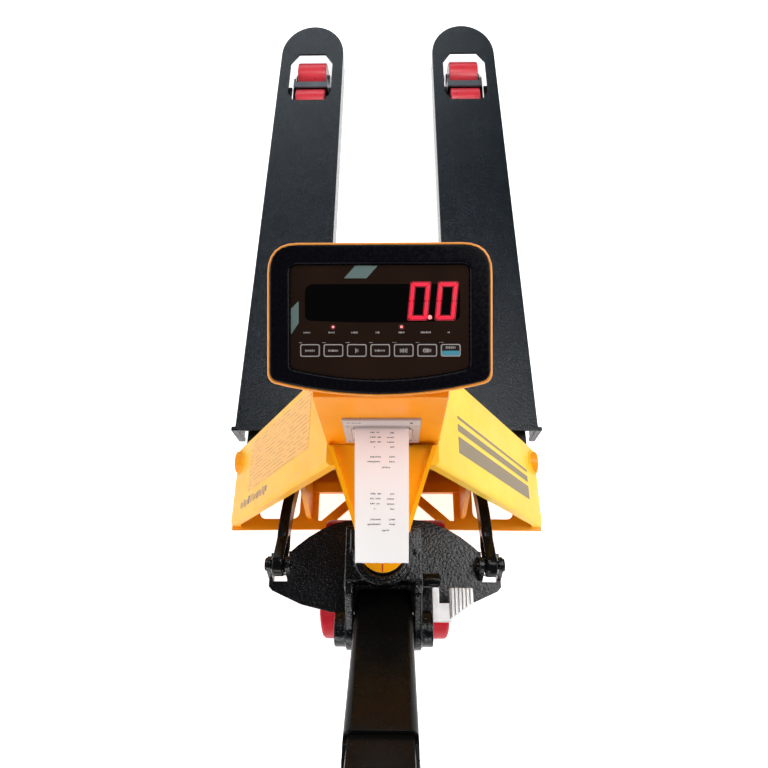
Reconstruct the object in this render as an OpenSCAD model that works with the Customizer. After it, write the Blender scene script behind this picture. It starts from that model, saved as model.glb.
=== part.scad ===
// Hand pallet truck with weighing forks, an indicator on a short tower and a ticket printer.
// Millimetres. +Y points to the fork tips, +X to the operator's right, +Z up.
// Every dimension in Y is counted from the steering axis; the whole truck is then moved
// along Y so that the origin lies on the floor under the middle of its outline.

/* [Forks] */
// Length of one weighing cover
cover_l = 1150; // [1000:10:1220]
// Width of one weighing cover
cover_w = 160; // [150:1:170]
// Width over both covers
forks_w = 550; // [540:1:680]
// Height of the covers above the floor, lowered
deck_z = 88; // [86:0.5:95]
// Sheet thickness of the covers
cover_t = 5; // [3:0.5:6]
// Rear edge of the covers
cover_y = 253; // [245:1:300]
// Length of the rounded tip
tip_l = 110; // [80:5:140]
// Width of the inner fork channel
inner_w = 124; // [120:1:130]

/* [Rollers] */
// Diameter of a load roller
roller_d = 80; // [74:1:82]
// Width of a load roller
roller_w = 74; // [60:1:74]
// Distance between the two rollers of one fork
roller_gap = 100; // [92:1:106]
// Middle of the roller pair
bogie_y = 1205; // [1190:1:1210]

/* [Steering] */
// Diameter of a steering wheel
wheel_d = 180; // [170:1:180]
// Width of a steering wheel
wheel_w = 50; // [40:1:50]
// Middle of a steering wheel, from the centre line
wheel_x = 71; // [70:1:74]
// Height that the pump lifts the forks
lift_h = 110; // [80:1:115]

/* [Drawbar] */
// Height of the drawbar axle
axle_z = 250; // [248:1:255]
// Distance of the drawbar axle behind the steering axis
axle_back = 80; // [79:0.5:84]
// Lean of the drawbar from upright
lean = 40; // [30:1:60]
// Distance from the axle to the middle of the grip bar
grip_u = 950; // [900:5:1000]

/* [Mast and indicator] */
// Height of the bottom of the tower
tower_z = 423; // [415:1:430]
// Width of the tower
tower_w = 130; // [126:1:134]
// Rear face of the tower
tower_y = 111; // [108:1:114]
// Tilt of the indicator from level
face_tilt = 25; // [15:1:35]
// Width of the indicator
face_w = 200; // [190:1:210]
// Height of the indicator
face_h = 137; // [130:1:145]

/* [Hidden] */
$fn = 64;
frame_yellow = "orange";
slate = "darkslategray";
run = 0.05;                                  // radial running clearance of pins and shafts

fork_x = (forks_w - cover_w) / 2;            // middle of one fork
tip_y = cover_y + cover_l;
grip_r = 14;
y_rear = -axle_back - (grip_u + grip_r) * sin(lean) - grip_r * cos(lean);
y_shift = -(tip_y + y_rear) / 2;
sides = [-1, 1];

// chassis
base_top = 60;
plate_t = 6;
foot_x = 267;                                // outer edge of the base
foot_z = 74;                                 // height where the wings start to slope
wing_y0 = 86;
wing_y1 = 218;
wing_run = (foot_x - tower_w / 2) / (tower_z - foot_z);
wing_th = 7;                                 // wing thickness measured level
shaft_y = 192;
shaft_z = 91;
shaft_r = 14;
boss_r = 19;
lever_room = 18;                             // width of the notches for the push levers
inner_top = 62;
inner_z = 20;
inner_t = 6;
inner_end = bogie_y - 5;                     // the inner forks stop beside the rollers

// linkage
arm_x = 150;
ear_y = 4;
ear_z = 214;
ear_r = 6;
lever_r = 57;                                // torsion shaft to push rod
rock = 29.3;                                 // turn of the rocker over the whole lift
hinge_z = 24;
frame_l = 125;                               // roller frame hinge to bogie axle
frame_up = asin((roller_d / 2 - hinge_z) / frame_l);
frame_turn = frame_up + asin((lift_h - roller_d / 2 + hinge_z) / frame_l);
hinge_y = bogie_y - frame_l * cos(frame_up);
rod_l = lever_r * sin(rock / 2) / sin(frame_turn / 2);   // hinge to push rod pin
rod_y0 = shaft_y - lever_r * sin(rock / 2);
rod_z0 = shaft_z - lever_r * cos(rock / 2);
rod_y1 = hinge_y - rod_l * sin(frame_turn / 2);
rod_z1 = hinge_z + rod_l * cos(frame_turn / 2);
pin_r = 6;

// pump
axle_y = -axle_back;
plate_z = 186;                               // underside of the thrust plate
plate_top = 196;
cyl_r = 29;
ram_r = 15;
cheek_x = 38;
boss_x = 63;
head_z = 343;

// nose
nose_z = 380;                                // trough floor at the steering axis
nose_pitch = 21.2;
nose_v = tower_y / cos(nose_pitch);
nose_tip = 26.6;

// tower top and indicator
box_y1 = 212;
tower_top = 557.8;
face_c = [0, 158.6, 622];
bezel_t = 10;
housing_t = 28;
plate_in = 3;                                // faceplate recess in the bezel
key_w = 17.6;
key_h = 11.4;
key_pitch = 20.7;
key_x0 = -61.5;
key_y = -27.4;
key_count = 7;

// printer
slot_z = 484;
panel_z0 = 437;
panel_z1 = 507;
panel_w = 82;
door_z1 = 481;

// ---------- shared shapes ----------
// a cylinder along X
module rod_x(y, z, r, x0, x1) { translate([x0, y, z]) rotate([0, 90, 0]) cylinder(r = r, h = x1 - x0); }
// a Y-Z outline extruded along X
module slab_x(x0, x1) { translate([x0, 0, 0]) rotate([90, 0, 90]) linear_extrude(x1 - x0) children(); }
// an X-Z outline extruded along Y
module slab_y(y0, y1) { translate([0, y1, 0]) rotate([90, 0, 0]) linear_extrude(y1 - y0) children(); }
// an X-Y outline extruded along Z
module slab_z(z0, z1) { translate([0, 0, z0]) linear_extrude(z1 - z0) children(); }
// a right-hand shape and its mirror image
module both() { children(); mirror([1, 0, 0]) children(); }
module block(x0, x1, y0, y1, z0, z1) { translate([x0, y0, z0]) cube([x1 - x0, y1 - y0, z1 - z0]); }
function on_arc(c, r, a) = [c[0] + r * cos(a), c[1] + r * sin(a)];
// two circles joined by their common tangents
module link2d(p, rp, q, rq) {
    d = q - p;
    a = atan2(d[1], d[0]);
    b = acos((rp - rq) / norm(d));
    translate(p) circle(rp);
    translate(q) circle(rq);
    polygon([on_arc(p, rp, a + b), on_arc(q, rq, a + b), on_arc(q, rq, a - b), on_arc(p, rp, a - b)]);
}
// a bent bar: points on a smooth bend from a over b to c, t = 0 to 1
function bend(a, b, c, t) = (1 - t) * (1 - t) * a + 2 * t * (1 - t) * b + t * t * c;
// the direction across that bend
function across(a, b, c, t) =
    let (d = 2 * (1 - t) * (b - a) + 2 * t * (c - b)) [-d[1], d[0]] / norm(d);
module bent_bar(a, b, c, half, steps) {
    function edge(side, i) = bend(a, b, c, i / steps) + side * half * across(a, b, c, i / steps);
    polygon(concat([for (i = [0:steps]) edge(1, i)], [for (i = [steps:-1:0]) edge(-1, i)]));
}
module round_rect(w, h, r) {
    square([w - 2 * r, h], center = true);
    square([w, h - 2 * r], center = true);
    for (x = sides, y = sides) translate([x * (w / 2 - r), y * (h / 2 - r)]) circle(r);
}
// a drawbar shape drawn upright, about the drawbar axle
module on_drawbar() { translate([0, axle_y, axle_z]) rotate([lean, 0, 0]) children(); }
// an indicator shape drawn on its level face
module on_face() { translate(face_c) rotate([face_tilt, 0, 0]) children(); }
module on_nose() { translate([0, 0, nose_z]) rotate([nose_pitch, 0, 0]) children(); }
module truck() { translate([0, y_shift, 0]) children(); }

// ---------- chassis ----------
module base_outline() {
    rear = [[foot_x, 80], [105, 82], [36, 142]];
    polygon(concat([[foot_x, wing_y1]], rear,
        [for (i = [2:-1:0]) [-rear[i][0], rear[i][1]]], [[-foot_x, wing_y1]]));
}
module base_plate() {
    color(frame_yellow) {
        difference() {
            slab_z(base_top - plate_t, base_top) base_outline();
            both() slab_z(base_top - plate_t - 1, base_top + 1) {
                translate([186, 154]) round_rect(70, 108, 12);
                polygon([[118, 97], [118, 145], [57, 145], [112, 97]]);
                // room for the push lever
                translate([fork_x - lever_room / 2, 200]) square([lever_room, 30]);
            }
        }
        block(-128, 128, 145, 163, base_top, base_top + 8);
    }
}
module rib_plates() {
    outline = [[100, base_top], [212, base_top], [212, 285], [185, 285], [150, 235], [100, 84]];
    color(frame_yellow) both() difference() {
        slab_x(128, 136) polygon(outline);
        rod_x(shaft_y, shaft_z, shaft_r + run, 120, 145);
    }
}
// a sloped strip of the wing, d0 to d1 inwards from its outer face
module wing_strip(d0, d1, z0, z1) {
    function edge(d, z) = [foot_x - d - max(0, z - foot_z) * wing_run, z];
    polygon([edge(d0, z0), edge(d0, max(z0, foot_z)), edge(d0, z1),
        edge(d1, z1), edge(d1, max(z0, foot_z)), edge(d1, z0)]);
}
module nose_outline(inset) {
    circle(nose_tip - inset);
    polygon([[nose_tip - inset, 0], [32 - inset, 27], [62 - inset, nose_v],
        [inset - 62, nose_v], [inset - 32, 27], [inset - nose_tip, 0]]);
}
module wing() {
    difference() {
        union() {
            slab_y(wing_y0, wing_y1) wing_strip(0, wing_th, base_top, tower_z);
            slab_y(wing_y0, wing_y0 + plate_t) wing_strip(wing_th - 1, wing_th + 17, base_top + 22, 368);
            rod_x(shaft_y, shaft_z, boss_r, 222, 262);
        }
        rod_x(shaft_y, shaft_z, shaft_r + run, 210, 254);
        on_nose() slab_z(-60, 40) nose_outline(0);
    }
}
module wing_right() { color(frame_yellow) wing(); }
module wing_left() { color(frame_yellow) mirror([1, 0, 0]) wing(); }
module front_wall() {
    in = wing_th;
    half_room = lever_room / 2;
    color(frame_yellow) difference() {
        slab_y(box_y1, wing_y1)
            polygon([[foot_x - in, base_top], [foot_x - in, foot_z], [tower_w / 2 - in, tower_z],
                [in - tower_w / 2, tower_z], [in - foot_x, foot_z], [in - foot_x, base_top]]);
        both() block(fork_x - half_room, fork_x + half_room, 200, 230, base_top - 1, base_top + 30);
    }
}
module nose() {
    floor_t = 6;
    wall = 5;
    skirt = 18;
    color(frame_yellow) difference() {
        union() {
            on_nose() {
                slab_z(-floor_t, 0) nose_outline(0);
                slab_z(-floor_t - skirt, -floor_t) difference() { nose_outline(0); nose_outline(wall); }
                slab_z(0, 14) difference() {
                    nose_outline(0);
                    nose_outline(wall);
                    translate([-40, -40]) square([80, 62]);
                }
            }
            // seat that rests on the ram
            difference() {
                translate([0, 0, 352]) cylinder(r = 22, h = 40);
                on_nose() block(-80, 80, -80, 80, -floor_t / 2, 60);
            }
        }
        block(-80, 80, tower_y, 200, 300, 500);
        translate([0, 0, 300]) cylinder(r = ram_r, h = 66);
    }
}
module tower_side(y0, y1, z0, drop) {
    polygon([[y0, z0], [y1, z0],
        [y1, tower_top - drop + (y1 - tower_y) * tan(face_tilt)],
        [y0, tower_top - drop + (y0 - tower_y) * tan(face_tilt)]]);
}
module tower() {
    half = tower_w / 2;
    wall = 4;
    color(frame_yellow) difference() {
        slab_x(-half, half) tower_side(tower_y, box_y1, tower_z, 0);
        slab_x(wall - half, half - wall) tower_side(tower_y + wall, box_y1 + 1, tower_z + wall, 5);
        block(-37, 37, tower_y - 1, tower_y + wall + 1, panel_z0 + 4, panel_z1 - 4);
        on_face() translate([0, 0, -80]) cylinder(r = 14, h = 50);
    }
}
module tower_rear_cover() {
    color(frame_yellow) difference() {
        slab_x(-tower_w / 2, tower_w / 2) tower_side(box_y1, box_y1 + 2.5, tower_z, 1);
        slab_x(20, 46) translate([box_y1 - 1, 440]) square([5, 16]);
    }
}
// plan of a fork: straight sides and a long rounded tip
function fork_plan(y0, half, y_tip, l) = concat([[-half, y0]],
    [for (a = [180:-6:0]) [half * cos(a), y_tip - l + l * sin(a)]], [[half, y0]]);
module opening_plan() {
    w = 53;
    polygon([[-w, 1148], [-w, 1257], [-33, 1292], [33, 1292], [w, 1257], [w, 1148],
        [39, 1121], [-39, 1121]]);
}
module inner_fork() {
    half = inner_w / 2;
    room = 50;                               // half width of the gap for the roller frame
    bore_r = 8;
    difference() {
        union() {
            difference() {
                block(-half, half, wing_y1, inner_end, inner_z, inner_top);
                block(inner_t - half, half - inner_t, wing_y1 - 1, inner_end + 1, 0, inner_top - inner_t);
                block(-room, room, 1030, inner_end + 1, 0, 100);
            }
            for (x = sides) slab_x(x > 0 ? half - inner_t : -half, x > 0 ? half : inner_t - half)
                link2d([hinge_y, hinge_z], 13, [hinge_y, hinge_z + 15], 13);
        }
        rod_x(hinge_y, hinge_z, bore_r, -80, 80);
    }
}
module inner_fork_right() { color(frame_yellow) translate([fork_x, 0, 0]) inner_fork(); }
module inner_fork_left() { color(frame_yellow) translate([-fork_x, 0, 0]) inner_fork(); }
module fork_cover() {
    half = cover_w / 2;
    skirt_z = 34;
    difference() {
        union() {
            slab_z(skirt_z, deck_z) polygon(fork_plan(cover_y, half, tip_y, tip_l));
            block(-half - 7, half + 7, cover_y, cover_y + 8, 26, deck_z);
        }
        slab_z(skirt_z - 20, deck_z - cover_t)
            polygon(fork_plan(cover_y - 1, half - cover_t, tip_y - cover_t, tip_l - cover_t));
        slab_z(deck_z - cover_t - 1, deck_z + 1) opening_plan();
    }
}
module fork_cover_right() { color(slate) translate([fork_x, 0, 0]) fork_cover(); }
module fork_cover_left() { color(slate) translate([-fork_x, 0, 0]) fork_cover(); }

// ---------- weighing ----------
cell_y = [300, 880];
cell_l = 130;
cell_z0 = inner_top + 3;
cell_z1 = 78;
module load_cells() {
    color("silver") for (x = sides, y = cell_y) translate([x * fork_x, y, 0]) difference() {
        union() {
            block(-16, 16, 0, cell_l, cell_z0, cell_z1);
            block(-16, 16, 0, 50, inner_top, cell_z0);
        }
        translate([0, cell_l - 16, cell_z0 - 1]) cylinder(r = 5, h = 30);
        for (v = [12, 36]) translate([0, v, inner_top - 1]) cylinder(r = 4, h = 30);
    }
}
module load_cell_fittings() {
    color("gray") for (x = sides, y = cell_y) translate([x * fork_x, y, 0]) {
        // ball foot under the cover
        translate([0, cell_l - 16, cell_z0 + 1]) cylinder(r = 5, h = cell_z1 - cell_z0 - 1);
        translate([0, cell_l - 16, cell_z1]) cylinder(r = 10, h = deck_z - cover_t - cell_z1);
        // screws
        for (v = [12, 36]) translate([0, v, inner_top]) {
            cylinder(r = 4, h = cell_z1 - inner_top);
            translate([0, 0, cell_z1 - inner_top]) cylinder(r = 7, h = 3.5);
        }
    }
}
module battery() { color("dimgray") block(-50, 50, 168, 208, tower_z + 4, tower_z + 74); }
module junction_box() {
    color("lightgray") difference() {
        block(-45, 45, box_y1 - 30, box_y1, 130, 160);
        for (x = [-30, 0, 30]) translate([x, box_y1 - 31, 145]) rotate([-90, 0, 0]) cylinder(r = 5, h = 5);
    }
}
module circuit_board() {
    color("darkgreen") on_face() {
        block(-82, 82, -50, 50, -24, -22.4);
        block(-64, 64, 8, 46, -22.4, -7);
        for (i = [0:3]) block(-60 + i * 32, -44 + i * 32, -42, -30, -22.4, -19);
    }
}

// ---------- indicator ----------
module indicator_housing() {
    color("orange") on_face() difference() {
        slab_z(-bezel_t - housing_t, -bezel_t) round_rect(face_w, face_h, 22);
        slab_z(-bezel_t - housing_t + 3, 0) round_rect(face_w - 8, face_h - 8, 18);
        translate([0, 0, -80]) cylinder(r = 14, h = 50);
    }
}
module indicator_bezel() {
    color("black") on_face() difference() {
        slab_z(-bezel_t, 0) round_rect(face_w - 5, face_h - 5, 20);
        slab_z(-bezel_t - 1, -plate_in - 1.5) round_rect(face_w - 16, face_h - 16, 14);
        slab_z(-plate_in - 2, 1) translate([0, 4]) round_rect(158, 96, 10);
    }
}
module key_outline(i, grow) {
    translate([key_x0 + i * key_pitch, key_y]) round_rect(key_w + grow, key_h + grow, 1.6);
}
module faceplate() {
    color("black") on_face() difference() {
        slab_z(-plate_in - 1.5, -plate_in) translate([0, 4]) round_rect(158, 96, 10);
        for (i = [0:key_count - 1]) slab_z(-8, 0) key_outline(i, 0.6);
    }
}
module key(i) {
    color("dimgray") on_face() slab_z(-plate_in - 2.4, -plate_in + 0.2) key_outline(i, 0);
}
module key_1() { key(0); }
module key_2() { key(1); }
module key_3() { key(2); }
module key_4() { key(3); }
module key_5() { key(4); }
module key_6() { key(5); }
module key_7() { key(6); }

// ---------- ticket printer ----------
roll_r = 17;
roll_y = tower_y + 26;
roll_z = 462;
door_hinge_y = tower_y + 1.5;
door_hinge_z = panel_z0 + 10.5;
module printer_frame() {
    color("lightgray") difference() {
        union() {
            block(-panel_w / 2, panel_w / 2, tower_y - 2.5, tower_y, panel_z0, panel_z1);
            block(-37, 37, tower_y, tower_y + 50, panel_z0 + 4, panel_z1 - 4);
        }
        block(-33, 33, tower_y - 3, tower_y + 47, panel_z0 + 6, door_z1 + 0.4);
        block(-30.5, 30.5, tower_y - 3, tower_y + 30, door_z1, slot_z + 2.5);
        rod_x(roll_y, roll_z, 3 + run, -40, 40);
        rod_x(door_hinge_y, door_hinge_z, 2 + run, -36, 36);
    }
}
platen_y = tower_y + 7;
platen_z = door_z1 - 6;
module printer_door() {
    color("silver") difference() {
        union() {
            block(-32.6, 32.6, tower_y - 2.5, tower_y + 1, door_hinge_z, door_z1 - 1);
            for (x = [-32.6, 28.6]) block(x, x + 4, tower_y - 1, platen_y + 4, platen_z - 5, platen_z + 4);
            rod_x(door_hinge_y, door_hinge_z, 3, -32.6, 32.6);
            rod_x(door_hinge_y, door_hinge_z, 2, -35.5, 35.5);
        }
        rod_x(platen_y, platen_z, 2 + run, -40, 40);
        // finger groove
        block(-24, 24, tower_y - 4, tower_y - 1.7, 452, 454);
    }
}
module platen_roller() {
    color("black") {
        rod_x(platen_y, platen_z, 2, -32.4, 32.4);
        rod_x(platen_y, platen_z, 4.4, -28, 28);
    }
}
module paper_roll() {
    color("white") {
        rod_x(roll_y, roll_z, 3, -35, 35);
        rod_x(roll_y, roll_z, roll_r - 3, -28.5, 28.5);
    }
}
paper_w = 57;
paper_reach = 132;                           // how far the ticket reaches behind the tower
paper_drop = 63;
paper_t = 0.3;
function droop(t) = [tower_y - 0.2 - t * paper_reach, slot_z + 1.2 - paper_drop * pow(t, 1.35)];
module receipt_paper() {
    top = [for (i = [0:24]) droop(i / 24)];
    color("white") slab_x(-paper_w / 2, paper_w / 2)
        polygon(concat(top, [for (i = [24:-1:0]) top[i] - [0, paper_t]]));
}

// ---------- thrust plate ----------
module plate_outline() {
    ear = [[166, 22], [166, -24], [160, -30], [118, -48], [74, -58]];
    front = [[44, 71], [62, 68.5], [78, 64], [94, 56.5], [112, 45.5], [128, 33], [137, 25]];
    right = concat(front, ear);
    polygon(concat(right, [for (i = [len(right) - 1:-1:0]) [-right[i][0], right[i][1]]]));
}
module thrust_plate() {
    color("dimgray") difference() {
        union() {
            slab_z(plate_z, plate_top) plate_outline();
            both() for (x = [[133, 140], [160, 166]]) slab_x(x[0], x[1])
                link2d([ear_y - 3, plate_top - 5], 17, [ear_y, ear_z], 11);
        }
        translate([0, 0, plate_z - 20]) cylinder(r = cyl_r + run, h = 60);
        both() {
            rod_x(ear_y, ear_z, ear_r, 120, 180);
            slab_z(plate_z - 1, plate_top + 1) translate([arm_x - 10, -17]) square([20, 60]);
        }
        slab_z(0, plate_z) square([400, 400], center = true);
    }
}
module ear_pins() {
    color("silver") both() {
        rod_x(ear_y, ear_z, ear_r, 130, 166);
        rod_x(ear_y, ear_z, ear_r + 3, 166, 169);
    }
}
module thrust_bearing() {
    color("silver") difference() {
        translate([0, 0, plate_z - 10]) cylinder(r = 42, h = 10);
        translate([0, 0, plate_z - 11]) cylinder(r = cyl_r + 1, h = 12);
    }
}

// ---------- pump, steered with the wheels ----------
module pump_body() {
    base_z = plate_z - 10.4;
    color("dimgray") difference() {
        union() {
            block(-40, 40, -44, 44, 64, base_z);
            translate([0, 0, base_z]) cylinder(r = cyl_r, h = head_z - 10 - base_z);
        }
        translate([0, 0, 108]) cylinder(r = ram_r + run, h = 300);
        rod_x(0, wheel_d / 2, 10, -60, 60);
    }
}
// pivot of the release pedal
pedal_y = -20;
pedal_z = 240;
pedal_x = 51.4;
module pump_head() {
    out = cheek_x + 10;
    low = plate_top + 4;
    color("black") difference() {
        union() {
            translate([0, 0, 300]) cylinder(r = 36, h = head_z - 300);
            block(-40.5, 40.5, 4, 30, 300, head_z);
            block(-out, out, -28, 38, low, 318);
            both() {
                slab_x(cheek_x, out) {
                    translate([axle_y, axle_z]) circle(26);
                    polygon([[axle_y - 12, axle_z - 20], [-26, low], [0, low], [0, 305], [-42, 305],
                        [axle_y - 4, axle_z + 25]]);
                }
                rod_x(axle_y, axle_z, 22, cheek_x + 1, boss_x);
            }
            rod_x(pedal_y, pedal_z, 11, cheek_x + 1, pedal_x - 0.4);
        }
        cylinder(r = cyl_r, h = head_z - 10);
        cylinder(r = 24, h = 400);
        rod_x(axle_y, axle_z, 10, -80, 80);
    }
    color("silver") rod_x(pedal_y, pedal_z, 4.5, cheek_x + 5, 77);
}
module wheel_axle() {
    color("silver") rod_x(0, wheel_d / 2, 10, -wheel_x - wheel_w / 2 - 1, wheel_x + wheel_w / 2 + 1);
}
module handle_axle() { color("silver") rod_x(axle_y, axle_z, 10, -boss_x + 1, boss_x - 1); }
module steer_hub(x) {
    translate([x, 0, wheel_d / 2]) rotate([0, 90, 0]) rotate_extrude()
        polygon([[10 + run, -24], [24, -24], [26, -9], [56, -9], [58, -23], [62, -23],
            [62, 23], [58, 23], [56, 9], [26, 9], [24, 24], [10 + run, 24]]);
}
module steer_tyre(x) {
    r = wheel_d / 2;
    w = wheel_w / 2;
    translate([x, 0, r]) rotate([0, 90, 0]) rotate_extrude()
        polygon([[62, -w], [r - 4, -w], [r, 5 - w], [r, w - 5], [r - 4, w], [62, w]]);
}
module steer_hub_left() { color("gray") steer_hub(-wheel_x); }
module steer_hub_right() { color("gray") steer_hub(wheel_x); }
module steer_tyre_left() { color("crimson") steer_tyre(-wheel_x); }
module steer_tyre_right() { color("crimson") steer_tyre(wheel_x); }
module release_pedal() {
    pad_x = 87;
    pad_w = 32;
    pad_y = -69;
    pad_z = 244;
    pad_cut = 21;                            // the outer side of the pad is this much shorter
    rib_w = 2.6;
    rib_pitch = 5;
    function pad_edge(x) = pad_y + (x - pad_x) / pad_w * pad_cut;
    color("silver") difference() {
        union() {
            rod_x(pedal_y, pedal_z, 9, pedal_x, 75);
            block(64, 74, -72, pedal_y, pedal_z - 4, pedal_z + 2);
            block(64, pad_x + 3, -72, -48, pedal_z - 4, pedal_z + 2);
            slab_z(pad_z - 6, pad_z) polygon([[pad_x, -29], [pad_x, pad_y],
                [pad_x + pad_w, pad_y + pad_cut], [pad_x + pad_w, -29]]);
            for (x = [pad_x + 2:rib_pitch:pad_x + 28])
                block(x, x + rib_w, pad_edge(x + rib_w), -29, pad_z - 1, pad_z + 3);
        }
        rod_x(pedal_y, pedal_z, 4.5 + run, 40, 80);
    }
}

// ---------- drawbar, drawn upright about its axle ----------
sleeve_t = 4;
sleeve_x = 36.5;
sleeve_n = 40;
sleeve_u = 193;
module drawbar_sleeve() {
    color("black") on_drawbar() difference() {
        union() {
            block(-sleeve_x, sleeve_x, sleeve_n - sleeve_t, sleeve_n, -28, sleeve_u);
            for (x = [-sleeve_x, sleeve_x - sleeve_t]) slab_x(x, x + sleeve_t) {
                circle(24);
                polygon([[sleeve_n, -28], [sleeve_n, sleeve_u], [12, sleeve_u + 30],
                    [-22, sleeve_u + 30], [-24, 0], [0, -24]]);
            }
        }
        rod_x(0, 0, 10 + run, -60, 60);
    }
}
tube_top = 850;
module drawbar_tube() {
    color("black") on_drawbar() difference() {
        block(-32.5, 32.5, -16, 34, 96, tube_top);
        block(-28.5, 28.5, -12, 30, 90, tube_top - 4);
    }
}
module grip_loop() {
    side = 80;
    top = [side, grip_u];
    low = [side, tube_top + 50];
    root = [18, tube_top + 14];
    color("black") on_drawbar() {
        difference() {
            union() {
                both() slab_y(-grip_r, grip_r) {
                    link2d(root, grip_r, low, grip_r);
                    link2d(low, grip_r, top, grip_r);
                }
                block(-side, side, -grip_r, grip_r, grip_u - grip_r, grip_u + grip_r);
            }
            block(-32.5, 32.5, -20, 20, tube_top - 20, tube_top + 32);
        }
        difference() {
            block(-32.5, 32.5, -16, 34, tube_top, tube_top + 32);
            block(-12, 12, -17, 35, tube_top + 8, tube_top + 40);
            rod_x(0, tube_top + 20, 4, -40, 40);
        }
    }
    color("silver") on_drawbar() rod_x(0, tube_top + 20, 4, -30, 30);
}
module control_lever() {
    color("dimgray") on_drawbar() difference() {
        union() {
            rod_x(0, tube_top + 20, 10, -11.5, 11.5);
            slab_x(-5, 5) link2d([0, tube_top + 20], 8, [26, tube_top + 66], 5);
            rod_x(26, tube_top + 66, 7, -28, 28);
        }
        rod_x(0, tube_top + 20, 4 + run, -40, 40);
    }
}

// ---------- lifting linkage ----------
module torsion_shaft() { color("silver") rod_x(shaft_y, shaft_z, shaft_r, -252, 252); }
arm_rest = atan2(ear_z - shaft_z, ear_y - shaft_y);
slot_out = norm([ear_z - shaft_z, ear_y - shaft_y]);
slot_in = 187;
module rocker_arms() {
    slot_w = 11;
    eye_w = 16.5;
    knee = [88, 196];
    s = [shaft_y, shaft_z];
    eye = [on_arc(s, slot_in, arm_rest), on_arc(s, slot_out, arm_rest)];
    color("black") both() difference() {
        slab_x(arm_x - 8, arm_x + 8) {
            translate(s) circle(boss_r);
            bent_bar(s, knee, eye[0], 14.5, 10);
            link2d(eye[0], eye_w, eye[1], eye_w);
        }
        slab_x(arm_x - 9, arm_x + 9) link2d(eye[0], slot_w, eye[1], slot_w);
        rod_x(shaft_y, shaft_z, shaft_r, 130, 170);
    }
}
module push_levers() {
    color("dimgray") both() {
        difference() {
            slab_x(fork_x - 7, fork_x + 7) link2d([shaft_y, shaft_z], boss_r, [rod_y0, rod_z0], 11);
            rod_x(shaft_y, shaft_z, shaft_r, 180, 210);
            rod_x(rod_y0, rod_z0, pin_r, 180, 210);
        }
        rod_x(rod_y0, rod_z0, pin_r, fork_x - 14, fork_x + 14);
    }
}
module push_rods() {
    half = 6.5;
    neck = rod_y0 + 46;
    eye_play = 6;                            // the front pin rides in a slot this long
    turn = [rod_y1 - 60, rod_z0 + 3];
    color("dimgray") both() difference() {
        translate([fork_x, 0, 0]) {
            for (x = [-13, 8]) slab_x(x, x + 5) {
                translate([rod_y0, rod_z0]) circle(12);
                translate([rod_y0, rod_z0 - 9]) square([neck + 10 - rod_y0, 18]);
            }
            block(-12, 12, neck, neck + 9, rod_z0 - 8, rod_z0 + 8);
            slab_x(-7, 7) {
                polygon([[neck + 4, rod_z0 - half], [turn[0], turn[1] - half], [rod_y1, rod_z1 - half],
                    [rod_y1, rod_z1 + half], [turn[0] - 4, turn[1] + half], [neck + 4, rod_z0 + half]]);
                link2d([rod_y1, rod_z1], 14, [rod_y1, rod_z1 + eye_play], 14);
            }
        }
        rod_x(rod_y0, rod_z0, pin_r + run, 100, 300);
        slab_x(100, 300) link2d([rod_y1, rod_z1], pin_r + 1, [rod_y1, rod_z1 + eye_play], pin_r + 1);
    }
}
module frame_hinge_pins() {
    color("silver") both() translate([fork_x, 0, 0]) rod_x(hinge_y, hinge_z, 8, -inner_w / 2, inner_w / 2);
}
module roller_frames() {
    color("black") both() difference() {
        translate([fork_x, 0, 0]) {
            for (x = [-49, 44]) slab_x(x, x + 5) {
                link2d([hinge_y, hinge_z], 14, [bogie_y, roller_d / 2], 14.01);
                link2d([hinge_y, hinge_z], 14, [rod_y1, rod_z1], 10);
            }
            for (x = [-44, 14]) rod_x(hinge_y, hinge_z, 14, x, x + 30);
            rod_x(rod_y1, rod_z1, pin_r, -45, 45);
            for (x = [-44, 8]) rod_x(rod_y1, rod_z1, 9, x, x + 36);
            rod_x(bogie_y, roller_d / 2, pin_r, -46, 46);
        }
        rod_x(hinge_y, hinge_z, 8 + run, 100, 300);
    }
}
module bogies() {
    mid = [bogie_y, roller_d / 2];
    step = [roller_gap / 2, 0];
    color("dimgray") both() difference() {
        translate([fork_x, 0, 0]) {
            for (x = [-43, 38.5]) slab_x(x, x + 4.5) {
                link2d(mid - step, 13, mid + step, 13.01);
                translate([bogie_y - 26, roller_d / 2]) square([30, 40]);
            }
            block(-38.5, 38.5, bogie_y - 26, bogie_y - 7, 76, 80);
            block(-38.5, 38.5, bogie_y - 3, bogie_y + 2, 47, 70);
            for (y = [-1, 1]) rod_x(bogie_y + y * roller_gap / 2, roller_d / 2, 6, -40, 40);
        }
        rod_x(bogie_y, roller_d / 2, pin_r + run, 100, 300);
    }
}
module roller(x, y) {
    w = roller_w / 2;
    r = roller_d / 2;
    translate([x * fork_x, bogie_y + y * roller_gap / 2, r]) rotate([0, 90, 0]) rotate_extrude()
        polygon([[6 + run, -w], [r - 3, -w], [r, 3 - w], [r, w - 3], [r - 3, w], [6 + run, w]]);
}
module roller_left_front() { color("crimson") roller(-1, 1); }
module roller_left_rear() { color("crimson") roller(-1, -1); }
module roller_right_front() { color("crimson") roller(1, 1); }
module roller_right_rear() { color("crimson") roller(1, -1); }

// ram, held in the nose and sliding in the pump
module piston_rod() { color("silver") translate([0, 0, 112]) cylinder(r = ram_r, h = 366 - 112); }

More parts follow.
